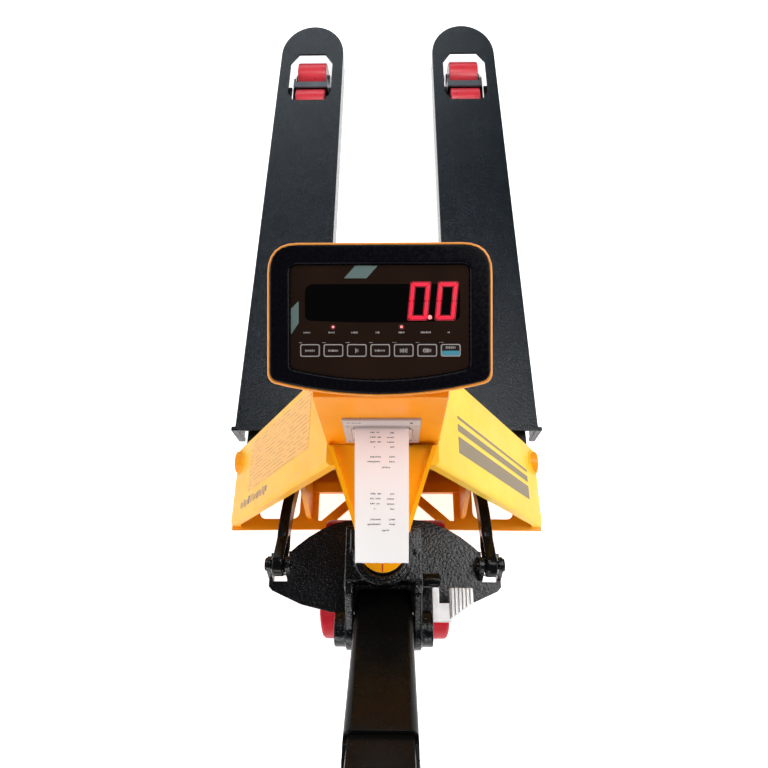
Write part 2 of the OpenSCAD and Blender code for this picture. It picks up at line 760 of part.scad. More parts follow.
truck() base_plate();
truck() rib_plates();
truck() wing_left();
truck() wing_right();
truck() front_wall();
truck() nose();
truck() tower();
truck() tower_rear_cover();
truck() inner_fork_left();
truck() inner_fork_right();
truck() fork_cover_left();
truck() fork_cover_right();
truck() load_cells();
truck() load_cell_fittings();
truck() frame_hinge_pins();
truck() piston_rod();
truck() battery();
truck() junction_box();
truck() indicator_housing();
truck() indicator_bezel();
truck() faceplate();
truck() circuit_board();
truck() printer_frame();
truck() printer_door();
truck() platen_roller();
truck() paper_roll();
truck() receipt_paper();
truck() key_1();
truck() key_2();
truck() key_3();
truck() key_4();
truck() key_5();
truck() key_6();
truck() key_7();
truck() thrust_plate();
truck() ear_pins();
truck() thrust_bearing();
truck() pump_body();
truck() pump_head();
truck() wheel_axle();
truck() handle_axle();
truck() steer_hub_left();
truck() steer_hub_right();
truck() steer_tyre_left();
truck() steer_tyre_right();
truck() release_pedal();
truck() drawbar_sleeve();
truck() drawbar_tube();
truck() grip_loop();
truck() control_lever();
truck() torsion_shaft();
truck() rocker_arms();
truck() push_levers();
truck() push_rods();
truck() roller_frames();
truck() bogies();
truck() roller_left_front();
truck() roller_left_rear();
truck() roller_right_front();
truck() roller_right_rear();
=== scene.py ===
"""Looks of a pallet scale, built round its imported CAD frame.

Lengths are in millimetres in the truck's own frame, where Y is counted from the steering axis,
and place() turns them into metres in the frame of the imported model.
"""

import math
import random

import bmesh
import bpy
from mathutils import Matrix, Vector


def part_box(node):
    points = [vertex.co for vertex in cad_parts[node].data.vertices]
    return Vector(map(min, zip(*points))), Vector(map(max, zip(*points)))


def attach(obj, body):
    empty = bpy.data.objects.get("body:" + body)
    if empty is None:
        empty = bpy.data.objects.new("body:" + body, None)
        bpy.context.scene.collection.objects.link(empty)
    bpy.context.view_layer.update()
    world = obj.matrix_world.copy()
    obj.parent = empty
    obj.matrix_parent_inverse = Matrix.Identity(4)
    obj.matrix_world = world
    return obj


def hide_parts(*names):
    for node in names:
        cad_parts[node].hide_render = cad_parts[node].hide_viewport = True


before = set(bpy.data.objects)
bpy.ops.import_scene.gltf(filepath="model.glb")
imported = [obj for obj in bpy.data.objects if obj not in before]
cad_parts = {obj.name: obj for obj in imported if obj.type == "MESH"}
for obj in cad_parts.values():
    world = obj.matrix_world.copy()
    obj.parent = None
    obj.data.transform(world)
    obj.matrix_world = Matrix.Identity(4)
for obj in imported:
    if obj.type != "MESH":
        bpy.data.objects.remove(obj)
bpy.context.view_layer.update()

MM = 0.001
RIGHT_ANGLE = math.pi / 2


# ---------- places, read from the frame ----------
def centre_of(node):
    low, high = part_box(node)
    return (low + high) / 2


STEER_Y = centre_of("steer_tyre_left").y
AXLE = centre_of("handle_axle")
DECK_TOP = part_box("fork_cover_left")[1].z / MM

LEAN = 40
FACE_TILT = 25
NOSE_PITCH = 21.2
BEZEL_T = 10
FORK_X = 195


def place(x, y, z):
    return Vector((x * MM, STEER_Y + y * MM, z * MM))


def tilted(origin, degrees):
    return Matrix.Translation(origin) @ Matrix.Rotation(math.radians(degrees), 4, "X")


ON_TRUCK = Matrix.Translation(place(0, 0, 0))
ON_DRAWBAR = tilted(Vector((0, AXLE.y, AXLE.z)), LEAN)
FACE_BACK = Vector((0, -math.sin(math.radians(FACE_TILT)), math.cos(math.radians(FACE_TILT))))
FACE_CENTRE = centre_of("indicator_bezel") + FACE_BACK * (BEZEL_T / 2 * MM)
ON_FACE = tilted(Vector((0, FACE_CENTRE.y, FACE_CENTRE.z)), FACE_TILT)
ON_NOSE = tilted(place(0, 0, 380), NOSE_PITCH)


# ---------- materials ----------
class Look:
    """A Principled material with short calls for the textures that feed it."""

    def __init__(self, name, colour, rough, **sockets):
        self.material = bpy.data.materials.new(name)
        self.material.use_nodes = True
        self.tree = self.material.node_tree
        self.shader = self.tree.nodes["Principled BSDF"]
        self.set("Base Color", (*colour, 1))
        self.set("Roughness", rough)
        for key, value in sockets.items():
            self.set(key.replace("_", " "), value)
        self.coords = self.tree.nodes.new("ShaderNodeTexCoord").outputs["Object"]

    def set(self, socket, value):
        self.shader.inputs[socket].default_value = value

    def node(self, kind, inputs=(), **properties):
        made = self.tree.nodes.new("ShaderNode" + kind)
        for key, value in properties.items():
            setattr(made, key, value)
        for key, value in dict(inputs).items():
            self.feed(made.inputs[key], value)
        return made

    def feed(self, socket, value):
        if isinstance(value, bpy.types.NodeSocket):
            self.tree.links.new(value, socket)
        else:
            socket.default_value = value

    def stretched(self, x, y, z):
        """The object's coordinates, scaled along each axis."""
        return self.node("Mapping", {"Vector": self.coords, "Scale": (x, y, z)}).outputs["Vector"]

    def noise(self, scale, detail=2.0, rough=0.5, vector=None):
        inputs = {"Vector": vector or self.coords, "Scale": scale, "Detail": detail, "Roughness": rough}
        return self.node("TexNoise", inputs).outputs["Fac"]

    def cells(self, scale):
        """Distance from the borders of cells of about 1/scale metres."""
        inputs = {"Vector": self.coords, "Scale": scale}
        return self.node("TexVoronoi", inputs, feature="DISTANCE_TO_EDGE").outputs["Distance"]

    def ramp(self, value, low, high, out_low=0.0, out_high=1.0):
        inputs = {"Value": value, "From Min": low, "From Max": high, "To Min": out_low, "To Max": out_high}
        return self.node("MapRange", inputs).outputs["Result"]

    def mix(self, share, first, second):
        made = self.node("Mix", data_type="RGBA")
        for index, value in ((0, share), (6, first), (7, second)):
            colour = value if isinstance(value, (float, bpy.types.NodeSocket)) else (*value, 1)
            self.feed(made.inputs[index], colour)
        return made.outputs[2]

    def math(self, operation, first, second):
        return self.node("Math", {0: first, 1: second}, operation=operation).outputs[0]

    def along(self, axis):
        return self.node("SeparateXYZ", {"Vector": self.coords}).outputs[axis]

    def colour(self, socket):
        self.feed(self.shader.inputs["Base Color"], socket)

    def roughness(self, socket):
        self.feed(self.shader.inputs["Roughness"], socket)

    def bump(self, height, depth):
        """Relief of the height texture, depth in millimetres from its 0 to its 1."""
        inputs = {"Height": height, "Distance": depth * MM, "Strength": 1.0}
        before = self.shader.inputs["Normal"].links
        if before:
            inputs["Normal"] = before[0].from_socket
        self.feed(self.shader.inputs["Normal"], self.node("Bump", inputs).outputs["Normal"])


def powder_paint(name, base, tint, rough=0.36, coat=0.12):
    """Semi-gloss powder coat: faint cloudy tint, orange-peel relief and a little dust."""
    look = Look(name, base, rough, Coat_Weight=coat, Coat_Roughness=0.14, Specular_IOR_Level=0.3)
    cloud = look.ramp(look.noise(9, 3, 0.6), 0.35, 0.7)
    dust = look.ramp(look.noise(160, 4, 0.7), 0.62, 0.8, 0, 0.25)
    tone = look.mix(cloud, base, tint)
    look.colour(look.mix(dust, tone, [min(1, c * 0.7 + 0.025) for c in base]))
    look.roughness(look.ramp(look.noise(40, 3), 0.3, 0.7, rough - 0.06, rough + 0.08))
    look.bump(look.noise(620, 1), 0.05)
    return look.material


def hammertone(name, dark, light, cell, depth, rough, shine=0.5, share=0.6):
    """Hammer-finish paint: rounded pools between ridges, with brighter flakes here and there that are partly
    painted glints.
    """
    look = Look(name, dark, rough, Specular_IOR_Level=shine)
    per_cell = 1 / (cell * MM)
    pools = look.noise(0.8 * per_cell, 1.5, 0.5)
    # The light colour is partly the paint's own fleck and partly painted glints of the lamps, strongest in
    # large patches.
    flakes_and_glints = look.ramp(look.noise(1.7 * per_cell, 3, 0.65), share - 0.05, share + 0.08)
    patches = look.ramp(look.noise(14, 2), 0.3, 0.75, 0.25, 1)
    look.colour(look.mix(look.math("MULTIPLY", flakes_and_glints, patches), dark, light))
    look.roughness(look.ramp(pools, 0.3, 0.7, rough - 0.05, rough + 0.08))
    look.bump(pools, depth)
    look.bump(look.noise(3 * per_cell, 2), depth * 0.25)
    return look.material


def gloss_black(name, rough=0.24):
    """Sprayed gloss black with a long, soft waviness, handling marks and dust."""
    look = Look(name, (0.004, 0.004, 0.004), rough, Specular_IOR_Level=0.13)
    dust = look.ramp(look.noise(240, 4, 0.75), 0.6, 0.85, 0, 0.25)
    look.colour(look.mix(dust, (0.004, 0.0038, 0.0035), (0.02, 0.016, 0.012)))
    handled = look.noise(34, 4, 0.7)
    look.roughness(look.ramp(handled, 0.35, 0.75, rough - 0.04, rough + 0.1))
    look.bump(look.noise(26, 1), 0.3)
    look.bump(look.noise(420, 2), 0.02)
    return look.material


def moulded(name, base, rough=0.45, grain=0.03, speck=0.12, shine=0.5):
    """Moulded plastic with a spark-eroded grain."""
    look = Look(name, base, rough, Specular_IOR_Level=shine)
    cloud = look.ramp(look.noise(60, 4, 0.6), 0.3, 0.75, 0, speck)
    look.colour(look.mix(cloud, base, [min(1, c * 1.5 + 0.004) for c in base]))
    look.roughness(look.ramp(look.noise(300, 2), 0.3, 0.7, rough - 0.07, rough + 0.1))
    look.bump(look.noise(2200, 2), grain)
    return look.material


def metal(name, base, rough, streak=(20, 500, 500), cast=False):
    """Bare metal: turned or brushed streaks, or the grain of a casting."""
    look = Look(name, base, rough, Metallic=1.0)
    lines = look.noise(900 if cast else 1, 3, 0.6, vector=None if cast else look.stretched(*streak))
    stain = look.ramp(look.noise(35, 4, 0.65), 0.4, 0.75, 0, 0.45)
    look.colour(look.mix(stain, base, [c * 0.62 for c in base]))
    look.roughness(look.ramp(lines, 0.3, 0.7, rough - 0.08, rough + 0.15))
    look.bump(lines, 0.1 if cast else 0.02)
    return look.material


def tread(name, base, deep, coat=0.25, inside=0.12, shine=0.35):
    """Polyurethane: a little light goes in, with scuffs round the running face."""
    look = Look(name, base, 0.34, Coat_Weight=coat, Coat_Roughness=0.2, Specular_IOR_Level=shine)
    look.set("Subsurface Weight", inside)
    look.set("Subsurface Radius", (0.006, 0.001, 0.001))
    scuff = look.ramp(look.noise(1, 4, 0.7, vector=look.stretched(30, 240, 240)), 0.45, 0.8, 0, 0.7)
    look.colour(look.mix(scuff, base, deep))
    look.roughness(look.ramp(look.noise(80, 3), 0.3, 0.75, 0.26, 0.5))
    look.bump(look.noise(1, 2, vector=look.stretched(40, 330, 330)), 0.12)
    return look.material


def strap_paint_with_shadow_below(name):
    """Slate paint on the bogies' straps, and black on everything lower as a painted shadow of the gap below
    them.
    """
    look = Look(name, (0.04, 0.05, 0.062), 0.34, Coat_Weight=0.1, Coat_Roughness=0.2)
    cloud = look.ramp(look.noise(30, 3), 0.35, 0.7)
    slate = look.mix(cloud, (0.035, 0.045, 0.055), (0.06, 0.075, 0.09))
    # Everything below the straps' top turns black: painted shadow in the gap between strap and roller.
    look.colour(look.mix(look.ramp(look.along("Z"), 0.0745, 0.0765), (0.005, 0.005, 0.006), slate))
    look.roughness(look.ramp(look.noise(90, 3), 0.3, 0.7, 0.28, 0.42))
    look.bump(look.noise(500, 2), 0.04)
    return look.material


def rubber(name):
    look = Look(name, (0.018, 0.018, 0.019), 0.62)
    chalk = look.ramp(look.noise(120, 4, 0.7), 0.5, 0.85, 0, 0.4)
    look.colour(look.mix(chalk, (0.018, 0.018, 0.019), (0.07, 0.068, 0.065)))
    look.bump(look.noise(1400, 2), 0.05)
    return look.material


def ticket_paper(name):
    """Thermal paper, with a painted pink reflection of the orange tower where it comes out beside it."""
    look = Look(name, (0.95, 0.93, 0.93), 0.6, Subsurface_Weight=0.1)
    # Pink towards the slot is painted reflection of the orange tower.
    tower_reflection_share = look.ramp(look.along("Y"), STEER_Y + 0.01, STEER_Y + 0.11)
    fibre = look.ramp(look.noise(700, 4, 0.7), 0.35, 0.8, 0, 0.05)
    tone = look.mix(tower_reflection_share, (0.97, 0.97, 0.97), (0.97, 0.78, 0.76))
    look.colour(look.mix(fibre, tone, (0.6, 0.58, 0.56)))
    look.bump(look.noise(500, 3), 0.02)
    return look.material


def roll_paper(name):
    look = Look(name, (0.93, 0.92, 0.9), 0.7)
    wound = look.noise(1, 2, vector=look.stretched(25, 2600, 2600))
    look.colour(look.mix(look.ramp(wound, 0.4, 0.7, 0, 0.25), (0.93, 0.92, 0.9), (0.6, 0.58, 0.55)))
    look.bump(wound, 0.03)
    return look.material


def printed(name, base, worn=0.2, rough=0.5, shine=0.5):
    """Ink or film with tiny breaks in its colour."""
    look = Look(name, base, rough, Specular_IOR_Level=shine)
    breaks = look.ramp(look.noise(900, 3, 0.7), 0.55, 0.85, 0, worn)
    look.colour(look.mix(breaks, base, [c * 0.55 for c in base]))
    look.bump(look.noise(1500, 1), 0.01)
    return look.material


def sticker(name):
    """Pale, peach-tinged film with ruled lines of tiny print, which stay plain lines."""
    look = Look(name, (0.93, 0.54, 0.18), 0.5, Specular_IOR_Level=0.3)
    lines = look.node("TexWave", {"Vector": look.stretched(0, 1, 0), "Scale": 52.0, "Distortion": 0.3},
                      bands_direction="Y")
    gaps = look.ramp(look.noise(1, 2, vector=look.stretched(60, 330, 60)), 0.42, 0.55)
    rules = look.math("MULTIPLY", look.ramp(lines.outputs["Fac"], 0.6, 0.9, 0, 0.6), gaps)
    look.colour(look.mix(rules, (0.86, 0.43, 0.09), (0.36, 0.18, 0.04)))
    look.bump(look.noise(300, 2), 0.03)
    return look.material


def face_film(name):
    """Glossy smoked film: nearly black, brown where light gets through."""
    look = Look(name, (0.012, 0.005, 0.003), 0.1, Specular_IOR_Level=0.22)
    glow = look.ramp(look.noise(14, 2), 0.3, 0.7)
    look.colour(look.mix(glow, (0.010, 0.005, 0.003), (0.017, 0.008, 0.005)))
    look.roughness(look.ramp(look.noise(260, 4, 0.7), 0.5, 0.8, 0.07, 0.2))
    look.bump(look.noise(60, 1), 0.02)
    return look.material


def lit(name, colour, strength, core):
    """A lit segment, brighter along its middle patches."""
    look = Look(name, colour, 0.4, Emission_Strength=strength)
    patches = look.ramp(look.noise(420, 2), 0.42, 0.7)
    look.feed(look.shader.inputs["Emission Color"], look.mix(patches, colour, core))
    return look.material


def circuit(name):
    look = Look(name, (0.01, 0.12, 0.04), 0.35, Coat_Weight=0.5)
    tracks = look.ramp(look.cells(260), 0.02, 0.07, 1, 0)
    look.colour(look.mix(tracks, (0.01, 0.12, 0.04), (0.05, 0.3, 0.1)))
    look.bump(tracks, 0.04)
    return look.material


ORANGE = (1.0, 0.3, 0.0)
ORANGE_TINT = (1.0, 0.36, 0.003)
BLACK = (0.004, 0.004, 0.0045)
LOOKS = {
    "tower": powder_paint("tower_orange", ORANGE, ORANGE_TINT),
    "base": powder_paint("base_orange", (1.0, 0.33, 0.005), (1.0, 0.42, 0.01)),
    # The wings take the frame's orange lightened towards yellow as painted light: the right wing is a
    # strongly lit copy, the left a less lit copy.
    "wing": powder_paint("wing_orange_painted_lit_yellow", (0.94, 0.54, 0.012), (0.95, 0.62, 0.02), 0.46, 0.03),
    "wing_pale": powder_paint("wing_left_orange_painted_half_lit", (0.96, 0.42, 0.008), (0.96, 0.5, 0.015), 0.46, 0.03),
    # The boss takes a darker, more orange copy of the frame paint: painted shade on the boss beside the lit
    # wing.
    "boss": powder_paint("boss_orange_painted_shade", (0.9, 0.32, 0.004), (0.92, 0.38, 0.01), 0.4, 0.05),
    "nose": powder_paint("nose_orange", (1.0, 0.38, 0.0), (1.0, 0.46, 0.0), 0.34),
    "rim": powder_paint("rim_orange", (0.8, 0.26, 0.02), (0.84, 0.32, 0.04), 0.34, 0.1),
    # The light colours of the hammer finishes below are partly flecks, partly painted glints: blue-grey on
    # the covers, pale grey on the castings.
    "cover": hammertone("cover_hammertone", (0.005, 0.008, 0.012), (0.09, 0.12, 0.15), 2.4, 0.9, 0.1,
                        0.3, 0.635),
    "casting": hammertone("casting_hammertone", (0.003, 0.0035, 0.0045), (0.3, 0.33, 0.38), 2.9, 0.6, 0.16,
                          0.3, 0.655),
    "forging": hammertone("forging_black", BLACK, (0.008, 0.008, 0.009), 6.0, 0.2, 0.16, 0.16, 0.66),
    "linkage": hammertone("linkage_black", (0.008, 0.008, 0.009), (0.03, 0.031, 0.033), 3.0, 0.2, 0.4, 0.3),
    "strap": strap_paint_with_shadow_below("strap_slate_painted_shadow"),
    "gloss": gloss_black("drawbar_gloss_black"),
    "bezel": moulded("bezel_satin_black", (0.002, 0.002, 0.0035), 0.25, 0.002, 0.04, 0.07),
    "grip": moulded("grip_plastic", (0.016, 0.016, 0.017), 0.5, 0.06),
    "dark": moulded("dark_plastic", (0.03, 0.03, 0.032), 0.5, 0.04),
    "grey": moulded("grey_plastic", (0.5, 0.42, 0.4), 0.5, 0.02, 0.1),
    "grey_light": moulded("grey_plastic_light", (0.6, 0.5, 0.48), 0.46, 0.02, 0.1),
    "steel": metal("turned_steel", (0.5, 0.5, 0.51), 0.34),
    "zinc": metal("zinc_plate", (0.6, 0.6, 0.59), 0.38, (300, 300, 300)),
    "aluminium": metal("cast_aluminium", (0.74, 0.74, 0.74), 0.5, cast=True),
    "hub": powder_paint("hub_enamel", (0.05, 0.05, 0.055), (0.08, 0.08, 0.085), 0.45, 0.1),
    "tread": tread("roller_polyurethane", (0.72, 0.035, 0.055), (0.4, 0.01, 0.02)),
    # The steering tyres take a darker copy of the rollers' red: painted shade from the pump and plate above
    # them.
    "tyre": tread("tyre_polyurethane_painted_shade", (0.5, 0.003, 0.016), (0.2, 0.001, 0.006), 0.0, 0.0, 0.06),
    "rubber": rubber("platen_rubber"),
    "paper": ticket_paper("ticket_paper"),
    "roll": roll_paper("roll_paper"),
    "ink": printed("ticket_ink", (0.12, 0.1, 0.12), 0.6),
    "legend": printed("legend_grey", (0.34, 0.32, 0.31), 0.3),
    "frame_line": printed("key_frame_grey", (0.33, 0.3, 0.29), 0.15),
    "accent": printed("accent_grey_green", (0.1, 0.15, 0.14), 0.15, 0.3),
    "cyan": printed("key_cyan", (0.035, 0.22, 0.3), 0.2),
    "label": printed("label_umber", (0.3, 0.2, 0.12), 0.3),
    "label_dark": printed("label_dark", (0.1, 0.08, 0.07), 0.4),
    "stripe": printed("stripe_taupe", (0.21, 0.15, 0.075), 0.1),
    "sticker": sticker("ruled_sticker"),
    "film": face_film("face_film"),
    "window": printed("display_window", (0.0012, 0.001, 0.001), 0.1, 0.1, 0.15),
    "digit": lit("digit_red", (0.9, 0.001, 0.025), 0.9, (0.94, 0.006, 0.045)),
    "glow": lit("digit_glow", (0.16, 0.0, 0.006), 1.0, (0.1, 0.0, 0.004)),
    "lamp": lit("lamp_red", (1.0, 0.2, 0.2), 1.0, (1.0, 0.5, 0.5)),
    "halo": lit("halo_red", (0.018, 0.0, 0.001), 1.0, (0.01, 0.0, 0.0)),
    "key": printed("key_film_dark", (0.010, 0.004, 0.003), 0.2, 0.3, 0.2),
    "pin_red": printed("pin_red", (0.5, 0.03, 0.01), 0.2, 0.4),
    "board": circuit("circuit_board"),
}


# ---------- shapes: each gives (points, faces) ----------
def loft(rings, closed=False):
    """A skin over rings of the same length. closed joins the last ring to the first."""
    size = len(rings[0])
    points = [p for ring in rings for p in ring]
    faces = []
    for i in range(len(rings) if closed else len(rings) - 1):
        a, b = i * size, (i + 1) % len(rings) * size
        faces += [(a + j, a + (j + 1) % size, b + (j + 1) % size, b + j) for j in range(size)]
    if not closed:
        faces += [tuple(range(size))[::-1], tuple(range(len(points) - size, len(points)))]
    return points, faces


def rounded(corners, radius, steps=4):
    """A closed outline with each corner turned into an arc. radius is a number, or one per corner."""
    out = []
    for i, corner in enumerate(corners):
        r = radius if isinstance(radius, (int, float)) else radius[i]
        here = Vector(corner)
        back = Vector(corners[i - 1]) - here
        ahead = Vector(corners[(i + 1) % len(corners)]) - here
        half = back.angle(ahead) / 2
        if r <= 0 or half > RIGHT_ANGLE - 0.01:
            out.append(here)
            continue
        cut = min(r / math.tan(half), back.length * 0.48, ahead.length * 0.48)
        start, end = here + back.normalized() * cut, here + ahead.normalized() * cut
        for k in range(steps + 1):
            t = k / steps
            out.append(start * (1 - t) ** 2 + here * 2 * t * (1 - t) + end * t * t)
    return out


def lathe(profile, centre, steps=72, axis="X"):
    """A closed (radius, place along the axis) profile turned about an axis through centre."""
    centre = Vector(centre)
    rings = []
    for i in range(steps):
        a = 2 * math.pi * i / steps
        c, s = math.cos(a), math.sin(a)
        if axis == "X":
            rings.append([Vector((x, r * c, r * s)) + centre for r, x in profile])
        else:
            rings.append([Vector((r * c, r * s, x)) + centre for r, x in profile])
    return loft(rings, closed=True)


def tube(path, radius, steps=16, closed=False):
    """A round bar along a path. radius is a number, or one per point."""
    rings = []
    side = None
    for i, p in enumerate(path):
        before = path[i - 1] if (i or closed) else p
        after = path[(i + 1) % len(path)] if (closed or i + 1 < len(path)) else p
        ahead = (after - before).normalized()
        if side is None:
            side = ahead.orthogonal().normalized()
        side = (side - ahead * side.dot(ahead)).normalized()
        up = ahead.cross(side)
        r = radius[i] if isinstance(radius, list) else radius
        turns = [2 * math.pi * k / steps for k in range(steps)]
        rings.append([p + (side * math.cos(a) + up * math.sin(a)) * r for a in turns])
    return loft(rings, closed=closed)


def smooth_path(points, radius, steps=6):
    """A bent line through points, its bends rounded."""
    path = [Vector(points[0])]
    for i in range(1, len(points) - 1):
        here = Vector(points[i])
        back, ahead = Vector(points[i - 1]) - here, Vector(points[i + 1]) - here
        cut = min(radius, back.length * 0.45, ahead.length * 0.45)
        start, end = here + back.normalized() * cut, here + ahead.normalized() * cut
        for k in range(steps + 1):
            t = k / steps
            path.append(start * (1 - t) ** 2 + here * 2 * t * (1 - t) + end * t * t)
    return path + [Vector(points[-1])]


def plate(outlines, low, high, bevel=0.0, steps=2):
    """A flat plate between two heights, from closed outlines where inner ones are holes."""
    curve = bpy.data.curves.new("plate", "CURVE")
    curve.dimensions = "2D"
    curve.fill_mode = "BOTH"
    curve.extrude = (high - low) / 2 - bevel
    curve.bevel_depth = bevel
    curve.bevel_resolution = steps
    curve.offset = -bevel
    for outline in outlines:
        spline = curve.splines.new("POLY")
        spline.points.add(len(outline) - 1)
        for point, place_2d in zip(spline.points, outline):
            point.co = (place_2d[0], place_2d[1], 0, 1)
        spline.use_cyclic_u = True
    holder = bpy.data.objects.new("plate", curve)
    mesh = bpy.data.meshes.new_from_object(holder)
    middle = Vector((0, 0, (low + high) / 2))
    points = [v.co + middle for v in mesh.vertices]
    faces = [tuple(f.vertices) for f in mesh.polygons]
    bpy.data.objects.remove(holder)
    bpy.data.curves.remove(curve)
    bpy.data.meshes.remove(mesh)
    return points, faces


def box_outline(x0, x1, y0, y1, radius=0.0):
    corners = [(x0, y0), (x1, y0), (x1, y1), (x0, y1)]
    return rounded(corners, radius) if radius else [Vector(c) for c in corners]


def soft_box(x0, x1, y0, y1, z0, z1, radius=1.0, bevel=0.6):
    return plate([box_outline(x0, x1, y0, y1, radius)], z0, z1, bevel)


def circle(x, y, radius, steps=32):
    turns = [2 * math.pi * k / steps for k in range(steps)]
    return [Vector((x + radius * math.cos(a), y + radius * math.sin(a))) for a in turns]


def moved(shape, matrix):
    return [matrix @ Vector(p) for p in shape[0]], shape[1]


def mirrored(shape):
    return [Vector((-p[0], p[1], p[2])) for p in shape[0]], [f[::-1] for f in shape[1]]


def sided(side, shape):
    """The shape for the right side, or its mirror image where side is negative."""
    return shape if side > 0 else mirrored(shape)


def both_ends(profile):
    """A profile followed by its mirror image along the axis."""
    return profile + [(radius, -x) for radius, x in profile[::-1]]


LYING_X = Matrix(((0, 0, 1, 0), (1, 0, 0, 0), (0, 1, 0, 0), (0, 0, 0, 1)))


def side_plate(outline, x0, x1, bevel=0.6):
    """A plate drawn in Y and Z that lies between two places along X."""
    return moved(plate([outline], x0, x1, bevel), LYING_X)


# ---------- pieces ----------
class Piece:
    """One object made of several shapes, each with its own material."""

    def __init__(self, name, matrix=ON_TRUCK):
        self.name = name
        self.matrix = matrix
        self.points, self.faces, self.slots, self.looks = [], [], [], []

    def add(self, shape, look, matrix=None):
        points, faces = shape
        if look not in self.looks:
            self.looks.append(look)
        first = len(self.points)
        turn = matrix if matrix else Matrix.Identity(4)
        self.points += [turn @ Vector(p) for p in points]
        self.faces += [tuple(first + v for v in f) for f in faces]
        self.slots += [self.looks.index(look)] * len(faces)
        return self

    def finish(self, body, slot=None, replaces=(), bevel=0.0, segments=2, sharp=32):
        mesh = bpy.data.meshes.new(self.name)
        mesh.from_pydata([p * MM for p in self.points], [], self.faces)
        for key in self.looks:
            mesh.materials.append(LOOKS[key])
        mesh.polygons.foreach_set("material_index", self.slots)
        tidy = bmesh.new()
        tidy.from_mesh(mesh)
        bmesh.ops.remove_doubles(tidy, verts=tidy.verts, dist=1e-7)
        bmesh.ops.recalc_face_normals(tidy, faces=tidy.faces)
        tidy.to_mesh(mesh)
        tidy.free()
        mesh.transform(self.matrix)
        mesh.shade_smooth()
        mesh.set_sharp_from_angle(angle=math.radians(sharp))
        made = bpy.data.objects.new(self.name, mesh)
        bpy.context.scene.collection.objects.link(made)
        if bevel:
            soften = made.modifiers.new("edges", "BEVEL")
            soften.width = bevel * MM
            soften.segments = segments
            soften.limit_method = "ANGLE"
            soften.angle_limit = math.radians(sharp)
        normals = made.modifiers.new("normals", "WEIGHTED_NORMAL")
        normals.keep_sharp = not bevel
        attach(made, body)
        if replaces:
            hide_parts(*replaces)
        return made


def smooth_group():
    """Geometry nodes that drop stored normals and shade smooth, except over sharp edges."""
    group = bpy.data.node_groups.new("smooth_by_angle", "GeometryNodeTree")
    group.interface.new_socket("Geometry", in_out="INPUT", socket_type="NodeSocketGeometry")
    group.interface.new_socket("Geometry", in_out="OUTPUT", socket_type="NodeSocketGeometry")
    new, link = group.nodes.new, group.links.new
    start, end = new("NodeGroupInput"), new("NodeGroupOutput")
    drop = new("GeometryNodeRemoveAttribute")
    drop.inputs["Name"].default_value = "custom_normal"
    faces = new("GeometryNodeSetShadeSmooth")
    edges = new("GeometryNodeSetShadeSmooth")
    edges.domain = "EDGE"
    edges.inputs["Shade Smooth"].default_value = False
    angle = new("GeometryNodeInputMeshEdgeAngle")
    steep = new("FunctionNodeCompare")
    steep.operation = "GREATER_THAN"
    steep.inputs[1].default_value = math.radians(32)
    link(angle.outputs[0], steep.inputs[0])
    link(start.outputs[0], drop.inputs["Geometry"])
    link(drop.outputs[0], faces.inputs["Geometry"])
    link(faces.outputs[0], edges.inputs["Geometry"])
    link(steep.outputs[0], edges.inputs["Selection"])
    link(edges.outputs[0], end.inputs[0])
    return group


SMOOTH = smooth_group()


def dress(node, look, bevel=0.0, segments=2, remesh=0.0, relax=0):
    """Gives a CAD node its material, and softens its edges with modifiers."""
    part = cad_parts[node]
    if not part.material_slots:
        part.data.materials.append(LOOKS[look])
    for material_slot in part.material_slots:
        material_slot.material = LOOKS[look]
    weld = part.modifiers.new("weld", "WELD")
    weld.merge_threshold = 1e-6
    if remesh:
        skin = part.modifiers.new("skin", "REMESH")
        skin.mode = "VOXEL"
        skin.voxel_size = remesh * MM
        skin.use_smooth_shade = True
        soft = part.modifiers.new("soft", "SMOOTH")
        soft.factor = 0.5
        soft.iterations = relax
        return part
    flat = part.modifiers.new("flat", "DECIMATE")
    flat.decimate_type = "DISSOLVE"
    flat.angle_limit = math.radians(0.4)
    if bevel:
        soften = part.modifiers.new("edges", "BEVEL")
        soften.width = bevel * MM
        soften.segments = segments
        soften.limit_method = "ANGLE"
        soften.angle_limit = math.radians(35)
    smooth = part.modifiers.new("smooth", "NODES")
    smooth.node_group = SMOOTH
    if bevel:
        normals = part.modifiers.new("normals", "WEIGHTED_NORMAL")
        normals.keep_sharp = True
    return part


def bead(path, radius, seed):
    """A weld: a lumpy bar whose ripples follow the torch."""
    draw = random.Random(seed)
    ripples = [radius * (1 + 0.16 * math.sin(i * 1.9) + draw.uniform(-0.08, 0.08)) for i in range(len(path))]
    return tube(path, ripples, 10)


def line(start, end, count):
    start, end = Vector(start), Vector(end)
    return [start.lerp(end, i / (count - 1)) for i in range(count)]


def hex_bolt(x, y, z, size, height):
    """A hexagon head whose axis lies along X, with a washer under it."""
    hexagon = [(size * math.cos(a * math.pi / 3), size * math.sin(a * math.pi / 3)) for a in range(6)]
    head = side_plate(rounded([(y + h, z + v) for h, v in hexagon], 0.6), 1.6, 1.6 + height, 0.5)
    washer = side_plate(circle(y, z, size * 1.35), 0, 1.6, 0.3)
    shift = Matrix.Translation(Vector((x, 0, 0)))
    return moved(head, shift), moved(washer, shift)


# ---------- camera ----------
def make_camera():
    camera = bpy.data.objects.new("camera", bpy.data.cameras.new("camera"))
    bpy.context.scene.collection.objects.link(camera)
    camera.data.lens = 26.36
    turn = Matrix.Rotation(math.radians(1.991), 4, "Z") @ Matrix.Rotation(math.radians(25.12), 4, "X")
    turn = turn @ Matrix.Rotation(math.radians(-1.853), 4, "Z")
    camera.matrix_world = Matrix.Translation(place(11.2, -102.3, 1044.3)) @ turn
    camera.data.clip_start = 0.05
    bpy.context.scene.camera = camera


# ---------- floor and light ----------
WALL_R = 8.9
WALL_SIDES = 64


